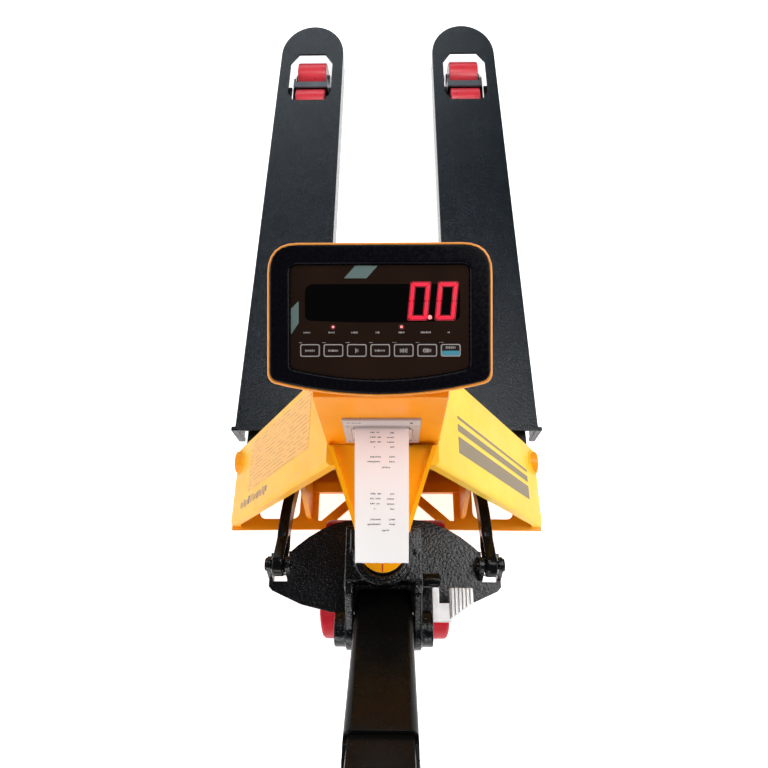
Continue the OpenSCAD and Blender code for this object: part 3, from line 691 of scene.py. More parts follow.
def make_stage():
    view = bpy.context.scene.view_settings
    view.view_transform = "Standard"
    view.look = "None"
    floor = bpy.data.meshes.new("floor")
    floor.from_pydata([(-9, -9, 0), (9, -9, 0), (9, 9, 0), (-9, 9, 0)], [], [(0, 1, 2, 3)])
    look = Look("floor_white", (0.94, 0.94, 0.94), 0.6, Emission_Strength=0.78)
    look.set("Emission Color", (1.0, 1.0, 1.0, 1))
    cloud = look.ramp(look.noise(2, 3), 0.3, 0.7)
    look.colour(look.mix(cloud, (0.95, 0.95, 0.95), (0.92, 0.92, 0.92)))
    floor.materials.append(look.material)
    ground = bpy.data.objects.new("floor", floor)
    bpy.context.scene.collection.objects.link(ground)
    wall = bpy.data.meshes.new("backdrop")
    rim = circle(0, 0, WALL_R, WALL_SIDES)
    points = [(p.x, p.y, z) for z in (-0.01, WALL_R + 0.1) for p in rim]
    after = [(k + 1) % WALL_SIDES for k in range(WALL_SIDES)]
    wall.from_pydata(points, [], [(k, n, n + WALL_SIDES, k + WALL_SIDES) for k, n in enumerate(after)])
    pale = Look("backdrop_white", (0.0, 0.0, 0.0), 1.0, Emission_Strength=0.86, Specular_IOR_Level=0.0)
    shade = pale.ramp(pale.noise(0.4, 2), 0.3, 0.7)
    pale.feed(pale.shader.inputs["Emission Color"], pale.mix(shade, (1.0, 1.0, 1.0), (0.97, 0.97, 0.97)))
    wall.materials.append(pale.material)
    backdrop = bpy.data.objects.new("backdrop", wall)
    bpy.context.scene.collection.objects.link(backdrop)
    backdrop.visible_diffuse = backdrop.visible_glossy = backdrop.visible_shadow = False
    backdrop.visible_transmission = False
    world = bpy.data.worlds.new("studio")
    bpy.context.scene.world = world
    world.use_nodes = True
    world.node_tree.nodes["Background"].inputs["Color"].default_value = (1, 1, 1, 1)
    world.node_tree.nodes["Background"].inputs["Strength"].default_value = 0.09


def softbox(name, spot, aim, size, power, tint=(1, 1, 1)):
    data = bpy.data.lights.new(name, "AREA")
    data.shape = "RECTANGLE"
    data.size, data.size_y = size
    data.energy = power
    data.color = tint
    light = bpy.data.objects.new(name, data)
    bpy.context.scene.collection.objects.link(light)
    light.location = place(*spot)
    light.rotation_euler = (place(*aim) - place(*spot)).to_track_quat("-Z", "Y").to_euler()
    return light


def make_lights():
    softbox("overhead", (0, 1450, 2600), (0, 900, 0), (0.7, 0.3), 17)
    softbox("overhead_right", (800, 330, 2500), (150, 0, 200), (1.0, 0.9), 22)
    softbox("tip_side", (-600, 3100, 1250), (0, 1000, 80), (2.4, 0.9), 12, (0.86, 0.94, 1.0))
    softbox("left_fill", (-2300, 300, 1500), (0, 200, 250), (1.4, 1.4), 31)
    softbox("right_fill", (2300, 100, 1500), (0, 200, 300), (1.4, 1.4), 31)
    softbox("behind", (-500, -2300, 900), (0, -100, 350), (1.8, 0.8), 26)


# ---------- CAD nodes that keep their shape ----------
def dress_nodes():
    table = {
        "base_plate": ("base", 1.2), "rib_plates": ("base", 1.0), "front_wall": ("wing", 1.0),
        "nose": ("nose", 2.0), "tower": ("tower", 2.6), "tower_rear_cover": ("tower", 0.8),
        "inner_fork_left": ("linkage", 1.2), "inner_fork_right": ("linkage", 1.2),
        "fork_cover_left": ("cover", 2.2), "fork_cover_right": ("cover", 2.2),
        "load_cells": ("aluminium", 0.6), "load_cell_fittings": ("zinc", 0.4),
        "frame_hinge_pins": ("zinc", 0.5), "piston_rod": ("steel", 0.8),
        "battery": ("dark", 1.5), "junction_box": ("dark", 1.5), "circuit_board": ("board", 0.2),
        "printer_frame": ("grey", 0.7), "printer_door": ("grey_light", 0.6),
        "platen_roller": ("rubber", 0.4), "paper_roll": ("roll", 0.4),
        "ear_pins": ("forging", 0.7), "thrust_bearing": ("steel", 0.8),
        "pump_body": ("casting", 1.5), "wheel_axle": ("steel", 1.0), "handle_axle": ("steel", 1.0),
        "drawbar_tube": ("gloss", 4.5), "control_lever": ("steel", 0.8),
        "torsion_shaft": ("steel", 0.8), "push_levers": ("linkage", 0.8),
        "push_rods": ("linkage", 0.9), "roller_frames": ("linkage", 0.9), "bogies": ("strap", 0.8),
    }
    for node, (look, bevel) in table.items():
        dress(node, look, bevel)
    for i in range(1, 8):
        dress(f"key_{i}", "key", 0.25)
    dress("thrust_plate", "casting", 1.8, 3)
    dress("pump_head", "casting", remesh=1.1, relax=9)
    dress("rocker_arms", "forging", remesh=1.6, relax=14)


# ---------- chassis: folded wings ----------
FOOT_X = 267
FOOT_Z = 74
TOWER_X = 65
TOWER_Z = 423
WING_T = 7
RUN = (FOOT_X - TOWER_X) / (TOWER_Z - FOOT_Z)


def wing_edge(z):
    return FOOT_X - max(0, z - FOOT_Z) * RUN


def wing_section(z, flange):
    """Plan of the folded sheet at a height, for the right side: rear flange, fold, side, front edge."""
    x = wing_edge(z)
    back, front, bend = 86, 218, 6.5
    inner = x - WING_T
    points = [(x - flange, back), (x - bend, back)]
    for k in range(1, 6):
        a = math.radians(-90 + 90 * k / 6)
        points.append((x - bend + bend * math.cos(a), back + bend + bend * math.sin(a)))
    points += [(x, back + bend), (x, front - 1), (x - 1, front), (inner + 1, front), (inner, front - 1)]
    points += [(inner, back + 8), (inner - 1.5, back + 6), (x - flange, back + 6)]
    return [Vector((px, py, z)) for px, py in points]


def wing_shape():
    heights = [60, FOOT_Z - 6, FOOT_Z - 2, FOOT_Z + 3, FOOT_Z + 9]
    heights += [FOOT_Z + 9 + (TOWER_Z - FOOT_Z - 9) * k / 12 for k in range(1, 13)]
    rings = []
    for z in heights:
        ring = wing_section(z, 17)
        if FOOT_Z - 6 <= z <= FOOT_Z + 9:
            ease = 0.28 * (z - FOOT_Z + 6) * (FOOT_Z + 9 - z) / 15
            ring = [p - Vector((ease, 0, 0)) for p in ring]
        rings.append(ring)
    return loft(rings)


BOSS_Y = 192
BOSS_Z = 91
BOSS = (0, BOSS_Y, BOSS_Z)


def on_wing(y, z, out=0.0):
    """A place on the right wing's outer face, out millimetres off it."""
    tilt = math.hypot(1, RUN)
    return Vector((wing_edge(z) + out / tilt, y, z + out * RUN / tilt))


def wing_patch(y0, y1, z0, z1, thick, radius=2.0):
    """A rounded sheet lying on the right wing."""
    outline = box_outline(y0, y1, z0, z1, radius)
    low = [on_wing(p.x, p.y, 0.0) for p in outline]
    high = [on_wing(p.x, p.y, thick) for p in outline]
    return loft([low, high])


def make_wings():
    # Each wing gets its lit copy of the orange paint: painted light, stronger on the right.
    for side, name, look in ((1, "wing_right", "wing"), (-1, "wing_left", "wing_pale")):
        piece = Piece("folded_" + name)
        piece.add(sided(side, wing_shape()), look)
        boss = [(14.1, 222), (18, 222), (19, 223), (19, 260.4), (18.2, 262), (14.1, 262)]
        piece.add(sided(side, lathe(boss, BOSS, 56)), "boss")
        piece.finish("chassis", "frame_paint", (name,), sharp=38)
        welds = Piece("weld_" + name)
        ring = []
        for k in range(44):
            a = math.radians(-18 + 216 * k / 43)
            z = BOSS_Z + 19 * math.sin(a)
            ring.append(Vector((wing_edge(z) + 0.4, BOSS_Y + 19.4 * math.cos(a), z)))
        welds.add(sided(side, bead(ring, 2.0, 5)), look)
        foot = line((258.6, 95, 61.5), (258.6, 206, 61.5), 60)
        welds.add(sided(side, bead(foot, 2.2, 7)), look)
        seam = line((wing_edge(120) - 8.2, 211, 120), (wing_edge(410) - 8.2, 211, 410), 110)
        welds.add(sided(side, bead(seam, 1.6, 9)), look)
        welds.finish("chassis", "frame_paint", sharp=70)


def make_wing_marks():
    left = Piece("wing_left_sticker")
    left.add(mirrored(wing_patch(124, 208, 150, 372, 0.25, 3)), "sticker")
    left.finish("chassis", "face_black")
    band = Piece("wing_left_label")
    draw = random.Random(12)
    for y0, y1, z0, z1 in ((100, 116, 122, 232), (190, 206, 378, 414)):
        z = z0
        while z < z1:
            step = draw.uniform(2.5, 7)
            shape = wing_patch(y0 + draw.uniform(0, 5), y1 - draw.uniform(0, 5), z, z + step, 0.2, 0.8)
            band.add(mirrored(shape), "label" if draw.random() < 0.7 else "label_dark")
            z += step + draw.uniform(1.5, 4)
    band.finish("chassis", "face_black")
    plain = Piece("wing_right_stripes")
    for y0, y1, z0, z1 in ((118, 140, 128, 372), (147, 157, 128, 372), (164, 168, 128, 372)):
        plain.add(wing_patch(y0, y1, z0, z1, 0.2, 1.5), "stripe")
    plain.finish("chassis", "face_black")


def make_chassis_details():
    seams = Piece("chassis_welds")
    for side in (1, -1):
        for x in (127, 137):
            seams.add(sided(side, bead(line((x, 104, 61), (x, 143, 61), 30), 1.6, 20 + x)), "base")
            seams.add(sided(side, bead(line((x, 165, 61), (x, 208, 61), 32), 1.6, 30 + x)), "base")
        seams.add(sided(side, bead(line((x, 146, 68.4), (x, 162, 68.4), 14), 1.4, 41)), "base")
    seams.finish("chassis", "frame_paint", sharp=70)

    ends = Piece("shaft_ends")
    for out in (-1, 1):
        cap = lathe([(0.01, 253), (12.4, 253), (13.2, 252.2), (13.2, 250), (0.01, 250)], BOSS)
        ends.add(sided(out, cap), "steel")
        ring = [Vector((256.2, BOSS_Y + 12.9 * math.cos(a), BOSS_Z + 12.9 * math.sin(a)))
                for a in [math.radians(50 + 290 * k / 40) for k in range(41)]]
        ends.add(sided(out, tube(ring, 0.9, 10)), "steel")
    ends.finish("chassis", "steel", sharp=50)

    pin = Piece("nose_pin", ON_NOSE)
    pin.add(soft_box(-0.9, 0.9, -24, -15, 5.6, 8.2, 0.7, 0.5), "pin_red")
    pin.finish("chassis", "dark_plastic", sharp=40)


# ---------- indicator ----------
def bowed(x0, x1, y0, y1, radius, rise, low_radius=None, steps=12):
    """A rounded rectangle whose bottom edge bows down in the middle, from corners raised by rise."""
    ends = [(x0, y0 + rise)]
    for k in range(1, steps):
        t = k / steps
        ends.append((x0 + (x1 - x0) * t, y0 + rise * (2 * t - 1) ** 2))
    ends += [(x1, y0 + rise), (x1, y1), (x0, y1)]
    low = low_radius or radius
    return rounded(ends, [low] + [0.0] * (steps - 1) + [low, radius, radius], 6)


def zero_segments(cx, cy, width, height, bar, lean):
    """Outlines of a seven-segment zero that leans by lean, a tangent."""
    w, h, gap = width / 2, height / 2, 0.3
    flat = [(gap - w, h), (w - gap, h), (w - bar - gap, h - bar), (bar + gap - w, h - bar)]
    upright = [(w, h - gap), (w, gap), (w - bar, gap), (w - bar, h - bar - gap)]
    outlines = [[(x, y * up) for x, y in flat[::up]] for up in (1, -1)]
    outlines += [[(x * side, y * up) for x, y in upright[::side * up]] for side in (1, -1) for up in (1, -1)]
    return [rounded([(cx + x + y * lean, cy + y) for x, y in outline], 0.35, 2) for outline in outlines]


FILM = -3.0


def ink(piece, outline, look, lift=0.0, thick=0.06):
    """A flat printed mark on the film."""
    piece.add(plate([outline], FILM + lift, FILM + lift + thick), look)


def key_middle(i):
    return -61.5 + 20.7 * i, -27.4


def make_indicator():
    case = Piece("indicator_case", ON_FACE)
    rings = []
    profile = ((-37.8, 4.5), (-36.8, 2.4), (-34.5, 0.6), (-32, 0), (-6, 0), (-4.2, 0.2), (-3.2, 0.8),
               (-2.8, 1.4), (-2.9, 2.2), (-4.0, 2.5), (-9.6, 2.5))
    for z, shrink in profile:
        wide, high = 99.8 - shrink, 68.3 - shrink
        section = bowed(-wide, wide, -high, high, 27 - shrink, 13, 25 - shrink)
        rings.append([Vector((p.x, p.y, z)) for p in section])
    case.add(loft(rings), "rim")
    foot = [(0.01, -38), (1.7, -38), (2.0, -37.2), (3.3, -37.2), (3.7, -36.4), (3.7, -33), (0.01, -33)]
    for x in (-78, 78):
        for y in (-42, 46):
            case.add(lathe(foot, (x, y, 0), 24, "Z"), "zinc")
    case.finish("chassis", "cover_paint", ("indicator_housing",), sharp=40)

    rim = Piece("indicator_frame", ON_FACE)
    outer = bowed(-97.2, 97.2, -65.7, 65.7, 24.6, 12.6, 22.6)
    window = bowed(-79.4, 79.4, -53.4, 48.4, 7, 10, 6)
    rim.add(plate([outer, window[::-1]], -9.9, 0, 2.2, 4), "bezel")
    rim.add(plate([bowed(-81.5, 81.5, -55.4, 50.4, 8, 10)], -8.6, -5.4, 0.3), "bezel")
    rim.finish("chassis", "bezel_black", ("indicator_bezel",), sharp=45)

    film = Piece("indicator_film", ON_FACE)
    outline = bowed(-78.9, 78.9, -52.9, 47.9, 6.5, 10, 5.5)
    holes = []
    for i in range(7):
        x, y = key_middle(i)
        holes.append(box_outline(x - 9.2, x + 9.2, y - 6.1, y + 6.1, 2.2)[::-1])
    film.add(plate([outline] + holes, FILM - 1.5, FILM, 0.15), "film")
    film.finish("chassis", "face_black", ("faceplate",), sharp=45)

    glass = Piece("display_window", ON_FACE)
    ink(glass, bowed(-66, 71, -2.8, 31.2, 8, 2, 7), "window")
    glass.finish("chassis", "face_black", sharp=45)

    digits = Piece("display_digits", ON_FACE)
    for x in (35.0, 59.2):
        for outline in zero_segments(x, 16, 18.4, 34.6, 5.0, 0.094):
            digits.add(plate([outline], FILM + 0.07, FILM + 0.1), "glow")
        for outline in zero_segments(x, 16, 15.6, 31.8, 2.3, 0.094):
            digits.add(plate([outline], FILM + 0.12, FILM + 0.3, 0.06), "digit")
    digits.add(plate([circle(44.4, 1.7, 1.8, 24)], FILM + 0.12, FILM + 0.3, 0.06), "lamp")
    for x in (-41.1, 19.4):
        digits.add(plate([circle(x, -6.7, 1.1, 20)], FILM + 0.1, FILM + 0.26, 0.06), "lamp")
        digits.add(plate([circle(x, -6.7, 2.7, 28)], FILM + 0.01, FILM + 0.08), "halo")
    digits.finish("chassis", "face_black", sharp=45)

    marks = Piece("display_marks", ON_FACE)
    draw = random.Random(21)
    legends = ((-64, 6.4), (-42.2, 5.6), (-21.8, 6.6), (-1.6, 3.6), (19.3, 5.0), (40.6, 8.8), (61, 1.8))
    for x, wide in legends:
        ticks(marks, draw, x, -11.6, wide, 1.9)
    ink(marks, rounded([(-31.5, 36.3), (-11.5, 36.3), (-1.5, 47.4), (-21.5, 47.4)], 0.5), "accent")
    ink(marks, rounded([(-78.4, -13.5), (-71.5, -3), (-71.5, 16.5), (-78.4, 9.5)], 0.5), "accent")
    for i in range(7):
        x, y = key_middle(i)
        ticks(marks, draw, x - 8.2, y + 6.9, 3.4, 0.7)
    marks.finish("chassis", "face_black", sharp=45)
    make_keys()


def ticks(piece, draw, cx, cy, wide, high, lift=0.0):
    """A row of small upright strokes, where the real thing has a caption."""
    x = cx - wide / 2
    while x < cx + wide / 2 - 0.3:
        step = min(draw.uniform(0.35, 0.8), cx + wide / 2 - x)
        tall = high * draw.uniform(0.55, 1)
        ink(piece, box_outline(x, x + step, cy - tall / 2, cy + tall / 2, 0.15), "legend", lift, 0.08)
        x += step + draw.uniform(0.35, 0.6)


def make_keys():
    """Printed frames on the keys, with plain strokes where the captions would be."""
    captions = (8.4, 9.0, 2.6, 9.4, 6.6, 7.4, 8.6)
    draw = random.Random(8)
    for i in range(7):
        x, y = key_middle(i)
        top = -2.8 - FILM
        face = Piece(f"key_{i + 1}_print", ON_FACE)
        ring = [box_outline(x - 8.6, x + 8.6, y - 5.5, y + 5.5, 2.0),
                box_outline(x - 7.8, x + 7.8, y - 4.7, y + 4.7, 1.4)[::-1]]
        face.add(plate(ring, FILM + top, FILM + top + 0.1), "frame_line")
        tall = 4.4 if i in (2, 4, 5) else 2.4
        ticks(face, draw, x, y + (2.4 if i == 6 else -0.2), captions[i], tall, top)
        if i == 6:
            ink(face, box_outline(x - 7.6, x + 7.6, y - 4.6, y - 0.4, 0.9), "cyan", top, 0.07)
        face.finish(f"button_{i + 1}", "key_film", sharp=45)


# ---------- tower, printer and ticket ----------
TOWER_BACK = 111
SLOT_Z = 484
PAPER_W = 57
PAPER_REACH = 132
PAPER_DROP = 63


def droop(t):
    return Vector((0, TOWER_BACK - 0.2 - t * PAPER_REACH, SLOT_Z + 1.2 - PAPER_DROP * t ** 1.35))


def on_ticket(t, out=0.0):
    """A place on the ticket's top face."""
    ahead = (droop(min(1, t + 0.01)) - droop(max(0, t - 0.01))).normalized()
    up = Vector((0, -ahead.z, ahead.y))
    if up.z < 0:
        up = -up
    return droop(t) + up * out


def ticket_mark(x0, x1, t0, t1):
    low = [on_ticket(t, 0.02) + Vector((x, 0, 0)) for x, t in ((x0, t0), (x1, t0), (x1, t1), (x0, t1))]
    high = [on_ticket(t, 0.08) + Vector((x, 0, 0)) for x, t in ((x0, t0), (x1, t0), (x1, t1), (x0, t1))]
    return loft([low, high])


def make_ticket():
    ticket = Piece("ticket")
    draw = random.Random(3)
    rings = []
    steps = 72
    for k in range(steps + 1):
        t = k / steps
        middle = droop(t)
        half = PAPER_W / 2
        edge = draw.uniform(-0.12, 0.12) if k < steps else 0
        top, low = [], []
        for j in range(13):
            x = -half + PAPER_W * j / 12
            cup = 0.5 * t * (1 - t) * ((2 * j / 12 - 1) ** 2)
            tooth = (0.35 if j % 2 else 0) if k == steps else 0
            here = middle + Vector((x + (edge if j in (0, 12) else 0) * 0.3, tooth, cup - 0.2))
            top.append(here + Vector((0, 0, 0.2)))
            low.append(here)
        rings.append(top + low[::-1])
    ticket.add(loft(rings), "paper")
    ticket.finish("chassis", "paper", ("receipt_paper",), sharp=60)

    print_out = Piece("ticket_print")
    for t in (0.05, 0.50):
        for row in range(4):
            step = t + 0.036 * row
            words = draw.choice(((-12, -8.2, -6.4, -1), (-12, -7, -5.4, -2.4), (-12, -6, -4.4, -0.6)))
            if row == 3:
                words = (-8, -6.4, -6.4, -6.4)
            for x0, x1 in ((words[0], words[1]), (words[2], words[3])):
                if x1 - x0 > 0.5:
                    scratch(print_out, draw, x0, x1, step)
            scratch(print_out, draw, 13 - (4 if row in (0, 3) else 7.5), 13, step + 0.003)
        for row in range(2):
            step = t + 0.185 + 0.034 * row
            scratch(print_out, draw, -12 - 3 * row, -1, step)
            scratch(print_out, draw, 8, 14, step)
        scratch(print_out, draw, 0.5, 8.5, t + 0.262)
    print_out.finish("chassis", "paper", sharp=45)


def scratch(piece, draw, x0, x1, t):
    """A row of short printed strokes, too small to read as letters."""
    x = x0
    while x < x1 - 0.5:
        wide = min(draw.uniform(0.7, 1.3), x1 - x)
        shift = draw.uniform(-0.0015, 0.0015)
        piece.add(ticket_mark(x, x + wide, t + shift, t + shift + draw.uniform(0.007, 0.011)), "ink")
        x += wide + draw.uniform(0.25, 0.6)


def make_printer_details():
    trim = Piece("printer_trim")
    flip = Matrix(((1, 0, 0, 0), (0, 0, -1, 0), (0, 1, 0, 0), (0, 0, 0, 1)))

    def face_shape(outline, low, high, bevel=0.0):
        """low and high count outwards from the panel's face."""
        return moved(plate([outline], low - (TOWER_BACK - 2.5), high - (TOWER_BACK - 2.5), bevel), flip)

    trim.add(face_shape(box_outline(-39.6, 39.6, 493, 505.4, 1.2), 0.0, 0.45, 0.15), "grey_light")
    x = -36
    for wide in (2.2, 1.4, 2.6, 1.8, 3.0):
        trim.add(face_shape(box_outline(x, x + wide, 499.2, 500.8, 0.3), 0.4, 0.52), "label_dark")
        x += wide + 0.9
    trim.add(face_shape(circle(31, 500, 1.7, 24), 0.4, 0.9, 0.2), "label_dark")
    trim.add(face_shape(box_outline(-29.6, 29.6, 487.0, 488.4, 0.5), 0.0, 0.9, 0.3), "grey")
    for k in range(28):
        tooth = -28 + k * 2.05
        corners = [(tooth, 487.1), (tooth + 1.0, 486.1), (tooth + 1.9, 487.1)]
        trim.add(face_shape(corners, 0.1, 0.6), "grey")
    for side in (-1, 1):
        trim.add(face_shape(circle(side * 37, 441.5, 1.7, 20), 0.0, 0.8, 0.3), "zinc")
        trim.add(face_shape(circle(side * 37, 488.5, 1.7, 20), 0.0, 0.8, 0.3), "zinc")
    trim.finish("chassis", "grey_plastic", sharp=40)


def make_tower_details():
    seams = Piece("tower_seams")
    for side in (1, -1):
        seams.add(sided(side, bead(line((65.4, 116, 423.6), (65.4, 205, 423.6), 60), 1.5, 61)), "tower")
    for side in (1, -1):
        for y, z in ((130, 470), (190, 470), (130, 520), (190, 500)):
            for shape in hex_bolt(65, y, z, 3.4, 2.4):
                seams.add(sided(side, shape), "zinc")
    seams.finish("chassis", "frame_paint", sharp=50)


# ---------- pump, thrust plate and steering ----------
HANDLE_AXIS = (0, -80, 250)


def make_pump_details():
    ridges = Piece("pump_ridges")
    for side in (1, -1):
        path = smooth_path([(47.4, -20, 206), (47.8, -42, 262), (47.8, -34, 306), (46, -8, 316)], 18)
        ridges.add(sided(side, tube(path, 1.8, 10)), "casting")
        ring = [(11, 62.4), (20, 62.4), (21.6, 61.2), (22, 59.6), (21, 58.6), (11, 60)]
        ridges.add(sided(side, lathe(ring, HANDLE_AXIS, 56)), "casting")
    ridges.finish("pump", "hammer_black", sharp=40)

    fittings = Piece("pump_fittings")
    for side in (1, -1):
        cap = [(0.01, 62.9), (8.6, 62.9), (9.4, 62.3), (9.6, 61), (0.01, 61)]
        fittings.add(sided(side, lathe(cap, HANDLE_AXIS, 40)), "steel")
    collar = [(25, 342), (31, 342), (31.6, 343), (31, 344.6), (29, 345.2), (26, 344.8), (25, 343.6)]
    fittings.add(lathe(collar, (0, 0, 0), 72, "Z"), "casting")
    wipe = [(15.5, 344.2), (22.6, 344.2), (23.4, 343.2), (23.4, 340), (15.5, 340)]
    fittings.add(lathe(wipe, (0, 0, 0), 64, "Z"), "rubber")
    fittings.finish("pump", "steel", sharp=40)


def make_plate_details():
    crescents = Piece("ear_rings")
    for side in (1, -1):
        hoop = [Vector((150 + 17 * math.cos(a), 4 + 13 * math.sin(a), 196.4))
                for a in [math.radians(195 + 150 * k / 24) for k in range(25)]]
        crescents.add(sided(side, tube(hoop, 1.5, 10)), "zinc")
    crescents.finish("lift_base", "steel", sharp=40)


def make_wheels():
    for side, name in ((-1, "left"), (1, "right")):
        middle = Vector((side * 71, 0, 90))
        w, r = 25, 90
        edge = [(62.2, -w + 1), (64, -w + 0.2), (r - 6, -w + 0.2), (r - 3, -w + 1.2), (r - 1, -w + 3.4)]
        edge += [(r, -w + 6.5), (r, -0.8)]
        profile = edge + [(r - 0.5, 0)] + [(q, -x) for q, x in edge[::-1]]
        Piece(f"tread_{name}").add(lathe(profile, middle, 128), "tyre").finish(
            f"steer_wheel_{name}", "red_tread", (f"steer_tyre_{name}",), sharp=35)
        hub = Piece(f"hub_{name}")
        ring = [(10.06, -23.6), (23.2, -23.8), (24.2, -22.8), (26, -10.6), (28, -9), (54, -9), (56.2, -10.6)]
        ring += [(58, -22.4), (59, -23.2), (61.4, -23.2), (61.9, -22.6)]
        hub.add(lathe(both_ends(ring), middle, 96), "hub")
        for k in range(6):
            a = math.radians(60 * k + 12)
            spot = middle + Vector((0, 41 * math.cos(a), 41 * math.sin(a)))
            for out in (-1, 1):
                dimple = ((0.01, 10.4), (4.6, 10.4), (5.6, 9.8), (6, 8.6), (0.01, 8.6))
                hub.add(lathe([(q, out * x) for q, x in dimple], spot, 24), "hub")
        for out in (-1, 1):
            seal = ((11.4, 24.2), (19, 24.2), (20, 23.6), (20, 22.4), (11.4, 22.4))
            hub.add(lathe([(q, out * x) for q, x in seal], middle, 56), "zinc")
        hub.finish(f"steer_wheel_{name}", "hub_cast", (f"steer_hub_{name}",), sharp=35)
    nuts = Piece("axle_ends")
    for side in (1, -1):
        ring = [(10.3, 96.2), (13.4, 96.2), (13.8, 96.7), (13.4, 97.2), (10.3, 97.2)]
        nuts.add(sided(side, lathe(ring, (0, 0, 90), 40)), "zinc")
    nuts.finish("pump", "steel", sharp=40)


def make_pedal():
    """Cast pad with ribs, its outer corner cut away, on a black hub."""
    pedal = Piece("pedal_ribbed")
    hub = [(4.7, 51.6), (8.2, 51.6), (9, 52.6), (9, 74), (8.2, 75), (4.7, 75)]
    pedal.add(lathe(hub, (0, -20, 240), 40), "forging")
    pedal.add(soft_box(64.2, 73.8, -71.8, -26, 236.2, 241.8, 1.5, 1.0), "aluminium")
    pedal.add(soft_box(64.2, 89.8, -71.8, -48.2, 236.4, 241.6, 2, 1.0), "aluminium")
    pad = rounded([(87.1, -29.1), (87.1, -68.9), (118.9, -48.2), (118.9, -29.1)], 2)
    pedal.add(plate([pad[::-1]], 238.1, 244, 1.0), "aluminium")
    for k in range(6):
        x = 89 + 5 * k
        low = -68.9 + (x - 84) / 31.8 * 20.7
        pedal.add(soft_box(x, x + 2.6, low, -29.6, 243, 246.9, 0.6, 0.9), "aluminium")
    pedal.finish("pedal", "aluminium", ("release_pedal",), sharp=40)


# ---------- load rollers ----------
def make_rollers():
    for side, letter, word in ((-1, "l", "left"), (1, "r", "right")):
        for y, short, long in ((1255, "f", "front"), (1155, "r", "rear")):
            middle = Vector((side * FORK_X, y, 40))
            w, r = 36.8, 39.9
            roll = Piece(f"load_roller_{word}_{long}")
            tyre = [(r - 8, -w + 0.6), (r - 7, -w), (r - 3, -w), (r - 1, -w + 0.8), (r, -w + 2.6)]
            roll.add(lathe(both_ends(tyre), middle, 96), "tread")
            core = [(6.06, -w - 0.1), (13, -w - 0.1), (14, -w + 1.4), (23, -w + 2.2), (24, -w + 0.6)]
            core += [(r - 8.05, -w + 0.6)]
            roll.add(lathe(both_ends(core), middle, 72), "steel")
            roll.finish(f"load_roller_{letter}{short}", "red_tread", (f"roller_{word}_{long}",), sharp=35)
            for out in (-1, 1):
                washer = Piece(f"axle_clip_{word}_{long}_{'in' if out < 0 else 'out'}")
                ring = ((6.2, 46.4), (9.4, 46.4), (9.8, 46.9), (9.4, 47.4), (6.2, 47.4))
                washer.add(lathe([(q, out * x) for q, x in ring], middle, 32), "zinc")
                washer.finish("bogie", "steel", sharp=40)


# ---------- drawbar ----------
SLEEVE_X = 36.5
SLEEVE_T = 4
SLEEVE_R = 8.5
SLEEVE_GAP = 0.02
SLEEVE_TOP = 193
SLEEVE_FOOT = -27.9
WEB_N = 40


def channel(u, low):
    """Section of the folded sleeve at a height: side, rounded corner, web, and back along the inside."""
    half, thin = SLEEVE_X - SLEEVE_GAP, SLEEVE_R - SLEEVE_T
    outer, inner = [], []
    for k in range(9):
        a = math.radians(90 * k / 8)
        for points, radius in ((outer, SLEEVE_R), (inner, thin)):
            points.append((half - SLEEVE_R + radius * math.cos(a), WEB_N - SLEEVE_R + radius * math.sin(a)))
    right = [(half, low)] + outer
    inside = [(half - SLEEVE_T, low)] + inner
    section = right + [(-x, n) for x, n in right[::-1]] + [(-x, n) for x, n in inside] + inside[::-1]
    return [Vector((x, n, u)) for x, n in section]


def make_sleeve():
    sleeve = Piece("drawbar_channel", ON_DRAWBAR)
    rings = []
    for u in [SLEEVE_FOOT, -26, -20] + [10 + 15 * k for k in range(12)] + [186, 191.5, 192.9]:
        low = -23.9 + u / SLEEVE_TOP * 1.8 if u >= 0 else max(18 + (u - SLEEVE_FOOT) * -0.6, 8)
        rings.append(channel(u, low))
    sleeve.add(loft(rings), "gloss")
    for side in (-1, 1):
        x0, x1 = (SLEEVE_X - SLEEVE_T, SLEEVE_X) if side > 0 else (-SLEEVE_X, SLEEVE_T - SLEEVE_X)
        arc = [math.radians(184 + 172 * k / 20) for k in range(21)]
        cheek = [(-23.8, 2)] + [(24 * math.cos(a), 24 * math.sin(a)) for a in arc]
        cheek += [(26, 2), (26, 14), (-23.6, 14)]
        sleeve.add(moved(plate([cheek], x0, x1, 0.5), LYING_X), "gloss")
        ear = [(-22.2, 190), (30.5, 190), (30.5, 199), (12, 222.6), (-21.6, 222.6)]
        sleeve.add(moved(plate([rounded(ear, 3)], x0, x1, 0.5), LYING_X), "gloss")
        ring = lathe([(10.1, 0), (16.5, 0), (17, 0.6), (17, 1.6), (10.1, 1.6)], Vector((0, 0, 0)), 40)
        spot = Matrix.Translation(Vector((SLEEVE_X + 0.01, 0, 0)))
        shape = moved(ring, spot)
        sleeve.add(sided(side, shape), "zinc")
    sleeve.finish("drawbar", "gloss_black", ("drawbar_sleeve",), bevel=0.7, sharp=40)


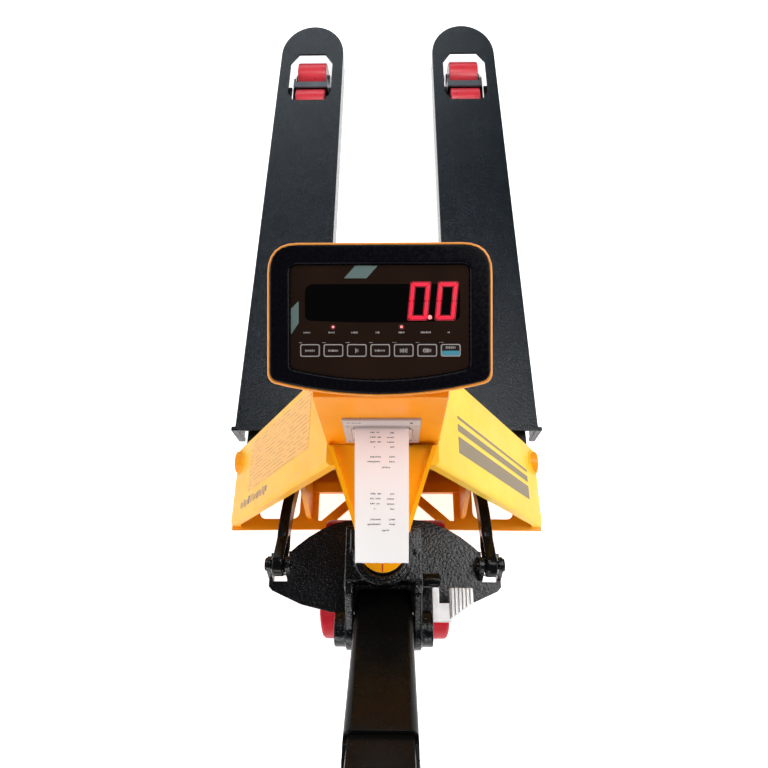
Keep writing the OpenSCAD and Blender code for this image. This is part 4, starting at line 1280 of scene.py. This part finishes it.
def make_grip():
    loop = Piece("grip_loop_round", ON_DRAWBAR)
    bends = ((0, 866), (20, 866), (78, 900), (80, 922), (80, 949), (62, 950.2), (0, 950.2))
    right = smooth_path([(x, 0, u) for x, u in bends], 22, 10)
    left = [Vector((-p.x, p.y, p.z)) for p in right[::-1]]
    path = right + left[1:-1]
    radii = []
    for p in path:
        on_bar = max(0.0, min(1.0, (p.z - 930) / 18)) * max(0.0, min(1.0, (62 - abs(p.x)) / 12))
        radii.append(12.6 + 1.2 * on_bar)
    loop.add(tube(path, radii, 28, closed=True), "grip")
    for side in (-1, 1):
        for k in range(7):
            middle = side * (16 + 6.2 * k)
            ridge = lathe([(13.4, -1.6), (13.95, -0.9), (13.95, 0.9), (13.4, 1.6), (12, 1.6), (12, -1.6)],
                          Vector((middle, 0, 950.2)), 36)
            loop.add(ridge, "grip")
    for side in (-1, 1):
        x0, x1 = (12.2, 32) if side > 0 else (-32, -12.2)
        loop.add(soft_box(x0, x1, -13.6, 13.6, 850.4, 881.6, 4, 1.6), "grip")
    loop.add(soft_box(-13, 13, -13.6, 13.6, 850.4, 857, 2, 1.2), "grip")
    return loop


def make_drawbar_details():
    bits = Piece("drawbar_bits", ON_DRAWBAR)
    for side in (1, -1):
        for u in (206, 214):
            for shape in hex_bolt(32.5, -4 if u > 210 else 14, u, 4.6, 3.4):
                bits.add(sided(side, shape), "zinc")
    collar = box_outline(-33.6, 33.6, -17.2, 35.2, 6)
    bits.add(plate([collar, box_outline(-32.3, 32.3, -15.8, 33.8, 4.5)[::-1]], 842, 849.6, 0.6), "grip")
    bits.finish("drawbar", "gloss_black", sharp=40)


# ---------- forks ----------
def make_fork_details():
    for side, word in ((-1, "left"), (1, "right")):
        trim = Piece(f"fork_band_{word}")
        x = side * FORK_X
        for y in (300, 420, 1010):
            screw = ((0.01, -0.6), (4.2, -0.6), (5.4, 0.25), (5.9, 0.3), (5.9, -1.6), (0.01, -1.6))
            screw = [(q, DECK_TOP + rise) for q, rise in screw]
            for off in (-58, 58):
                trim.add(lathe(screw, (x + off, y, 0), 28, "Z"), "cover")
        trim.finish("chassis", "cover_paint", sharp=40)


make_camera()
make_stage()
make_lights()
dress_nodes()
make_wings()
make_wing_marks()
make_chassis_details()
make_indicator()
make_ticket()
make_printer_details()
make_tower_details()
make_pump_details()
make_plate_details()
make_pedal()
make_wheels()
make_rollers()
make_sleeve()
make_grip().finish("drawbar", "grip_plastic", ("grip_loop",), sharp=40)
make_drawbar_details()
make_fork_details()
